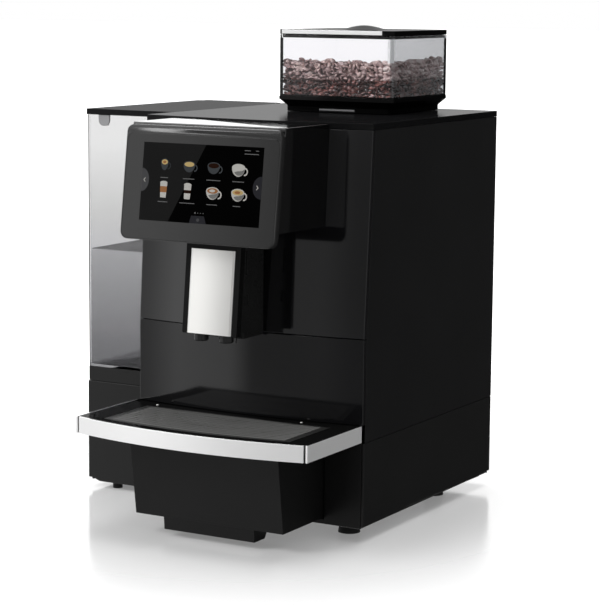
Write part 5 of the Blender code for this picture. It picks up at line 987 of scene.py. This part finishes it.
# %% [markdown]
# ## The picture on the screen
# The display shows a flat picture. Its parts are thin shapes that lie on the glass one over
# another, drawn in the screen's own plane from its lower middle, in metres, and then tilted with
# it. Captions are plain bars.

# %% Screen plane and picture colours
glass_low, glass_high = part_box("screen_glass")
screen_tilt = math.radians(7.6)
first_layer, layer_step, shape_half, same_corner = 0.00008, 0.00004, 0.000015, 0.000001
screen_origin = Vector(((glass_low[0] + glass_high[0]) / 2, glass_low[1], glass_low[2]))
screen_place = Matrix.Translation(screen_origin) @ Matrix.Rotation(-screen_tilt, 4, "X")


def picture_colour(name, colour, light):
    made = finish("picture_" + name, colour, 0.4, depth=0.0, specular=0.0, shade_change=0.05)
    shader = made.node_tree.nodes["Principled BSDF"]
    shader.inputs["Emission Color"].default_value = (*colour, 1)
    shader.inputs["Emission Strength"].default_value = light


# the faint grey of the painted_glare colour is a painted reflection on the glass
for name, colour, light in (
        ("black", (0.0010, 0.0010, 0.0010), 0.0), ("painted_glare", (0.0100, 0.0100, 0.0100), 0.0),
        ("tab_grey", (0.050, 0.050, 0.052), 0.0), ("tab_dark", (0.018, 0.018, 0.021), 0.0),
        ("label", (0.10, 0.10, 0.10), 0.1), ("white", (0.34, 0.33, 0.31), 0.1),
        ("white_shade", (0.12, 0.12, 0.115), 0.1), ("glass", (0.035, 0.038, 0.041), 0.1),
        ("cream", (0.34, 0.25, 0.11), 0.1), ("coffee", (0.014, 0.006, 0.004), 0.0),
        ("milk_coffee", (0.21, 0.095, 0.04), 0.1)):
    picture_colour(name, colour, light)
picture_parts = []


# %% Flat shapes of the picture
def flat_shape(points, layer, colour):
    # One outline, given as (across, up) from the screen's lower middle, laid on the glass.
    curve = bpy.data.curves.new("flat", "CURVE")
    curve.dimensions = "2D"
    curve.fill_mode = "BOTH"
    curve.extrude = shape_half
    spline = curve.splines.new("POLY")
    spline.points.add(len(points) - 1)
    for point, (u, v) in zip(spline.points, points):
        point.co = (u, v, 0, 1)
    spline.use_cyclic_u = True
    carrier = bpy.data.objects.new("flat", curve)
    bpy.context.scene.collection.objects.link(carrier)
    pick_only(carrier)
    bpy.ops.object.convert(target="MESH")
    piece = bpy.context.active_object
    stand = Matrix.Rotation(math.pi / 2, 4, "X")
    forward = Matrix.Translation((0, -first_layer - layer_step * layer, 0))
    piece.data.transform(screen_place @ forward @ stand)
    piece.data.materials.clear()
    piece.data.materials.append(finishes["picture_" + colour])
    picture_parts.append(piece)


def oval(u, v, half_width, half_height, start=0.0, end=360.0, steps=28):
    return [(u + half_width * math.cos(math.radians(start + (end - start) * i / steps)),
             v + half_height * math.sin(math.radians(start + (end - start) * i / steps)))
            for i in range(steps + (0 if end - start == 360 else 1))]


def ring_shape(u, v, outer, thickness, layer, colour):
    # A cup's handle is a bent band, drawn as an outline that goes out and comes back.
    outside = oval(u, v, outer, outer * 1.1, -100, 100, 14)
    inside = oval(u, v, outer - thickness, (outer - thickness) * 1.1, 100, -100, 14)
    flat_shape(outside + inside, layer, colour)


def cup(u, v, width, height, body_colour, drink_colour, foam=None):
    # A round cup seen from a little above. Bowl, rim, drink and handle are shares of its size.
    half = width / 2
    rim = v + height * 0.22
    ring_shape(u + half * 0.96, v - height * 0.05, height * 0.26, height * 0.09, 1, body_colour)
    bowl = oval(u, rim, half, height * 0.62, 180, 360, 20)
    flat_shape(bowl, 2, body_colour)
    if body_colour == "white":
        shadow = oval(u + half * 0.10, rim, half * 0.88, height * 0.56, 215, 350, 14)
        flat_shape(shadow, 3, "white_shade")
    flat_shape(oval(u, rim, half, height * 0.26), 3, body_colour)
    flat_shape(oval(u, rim, half * 0.84, height * 0.19), 4, drink_colour)
    if foam:
        flat_shape(oval(u - half * 0.05, rim, half * 0.45, height * 0.10), 5, foam)


narrowing = 0.22


def tall_glass(u, v, width, height, bands):
    # A glass that narrows downwards, with layers of foam, coffee and milk.
    rim = v + height / 2
    top = rim
    for number, (share, colour) in enumerate(bands):
        low = top - height * share
        upper_half, lower_half = [width / 2 * (1 - narrowing * (rim - level) / height)
                                  for level in (top, low)]
        flat_shape([(u - upper_half, top), (u - lower_half, low), (u + lower_half, low),
                    (u + upper_half, top)], 2 + number, colour)
        top = low
    flat_shape(oval(u, rim, width / 2, height * 0.11), 6, "white")


def bar(u_low, u_high, v_low, v_high, layer, colour):
    flat_shape([(u_low, v_low), (u_high, v_low), (u_high, v_high), (u_low, v_high)], layer, colour)


# %% Draw the picture: the ground, the tabs and the small marks
left_edge, right_edge, low_edge, high_edge = -0.0758, 0.0792, 0.0210, 0.1077
bar(left_edge, right_edge, low_edge, high_edge, 0, "black")
# painted reflection: a lighter wedge on the left of the screen, for glare on the glass
flat_shape([(left_edge, low_edge), (-0.0377, low_edge), (0.0055, high_edge),
            (left_edge, high_edge)], 1, "painted_glare")
flat_shape(oval(left_edge, 0.0658, 0.0096, 0.0130, -90, 90, 20), 2, "tab_grey")
flat_shape(oval(right_edge, 0.0640, 0.0110, 0.0124, 90, 270, 20), 2, "tab_dark")
flat_shape([(-0.0100, low_edge), (0.0120, low_edge), (0.0090, 0.0294), (-0.0076, 0.0294)], 2,
           "tab_dark")
flat_shape(oval(0.0012, 0.0249, 0.0019, 0.0019), 3, "tab_grey")
arrow = ((-0.0012, 0), (0.0010, 0.0026), (0.0016, 0.0020), (-0.0002, 0), (0.0016, -0.0020),
         (0.0010, -0.0026))
for side, u, v in ((1, -0.0722, 0.0658), (-1, 0.0742, 0.0640)):
    flat_shape([(u + side * across, v + up) for across, up in arrow], 3, "white")
page_dots = (0.0009, 0.0005, 0.0005, 0.0005)
for number, size in enumerate(page_dots):
    flat_shape(oval(-0.0029 + number * 0.0035, 0.0326, size, size), 2, "label")
label_half = 0.0004
column_places = (-0.0462, -0.0144, 0.0176, 0.0494)
for v, half_widths in ((0.0693, (0.0050, 0.0074, 0.0090, 0.0074)),
                       (0.0426, (0.0064, 0.0098, 0.0068, 0.0048))):
    for u, half in zip(column_places, half_widths):
        bar(u - half, u + half, v - label_half, v + label_half, 2, "label")
for u_low, u_high, v in ((0.0548, 0.0622, 0.1035), (0.0690, 0.0728, 0.1035),
                         (0.0548, 0.0728, 0.0998)):
    bar(u_low, u_high, v - label_half, v + label_half, 2, "label")

# %% Draw the picture: eight drinks in two rows
cup(-0.0468, 0.0833, 0.0096, 0.0146, "glass", "cream", "milk_coffee")
cup(-0.0146, 0.0822, 0.0150, 0.0140, "glass", "cream")
cup(0.0170, 0.0820, 0.0160, 0.0146, "glass", "coffee")
cup(0.0486, 0.0812, 0.0166, 0.0158, "white", "white")
tall_glass(-0.0462, 0.0555, 0.0094, 0.0166,
           ((0.25, "white"), (0.40, "milk_coffee"), (0.35, "white")))
tall_glass(-0.0148, 0.0550, 0.0096, 0.0160,
           ((0.38, "white"), (0.22, "coffee"), (0.40, "white")))
cup(0.0176, 0.0544, 0.0164, 0.0156, "white", "milk_coffee", "white")
cup(0.0498, 0.0542, 0.0164, 0.0156, "white", "cream", "milk_coffee")
print("picture is drawn from", len(picture_parts), "flat shapes")

# %% Join the picture
picture = join_all(picture_parts)
picture.name = "screen_picture"
pick_only(picture)
bpy.ops.object.mode_set(mode="EDIT")
bpy.ops.mesh.select_all(action="SELECT")
bpy.ops.mesh.remove_doubles(threshold=same_corner)
bpy.ops.mesh.normals_make_consistent(inside=False)
bpy.ops.object.mode_set(mode="OBJECT")
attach(picture, "housing")
print("picture has", len(picture.data.polygons), "faces")
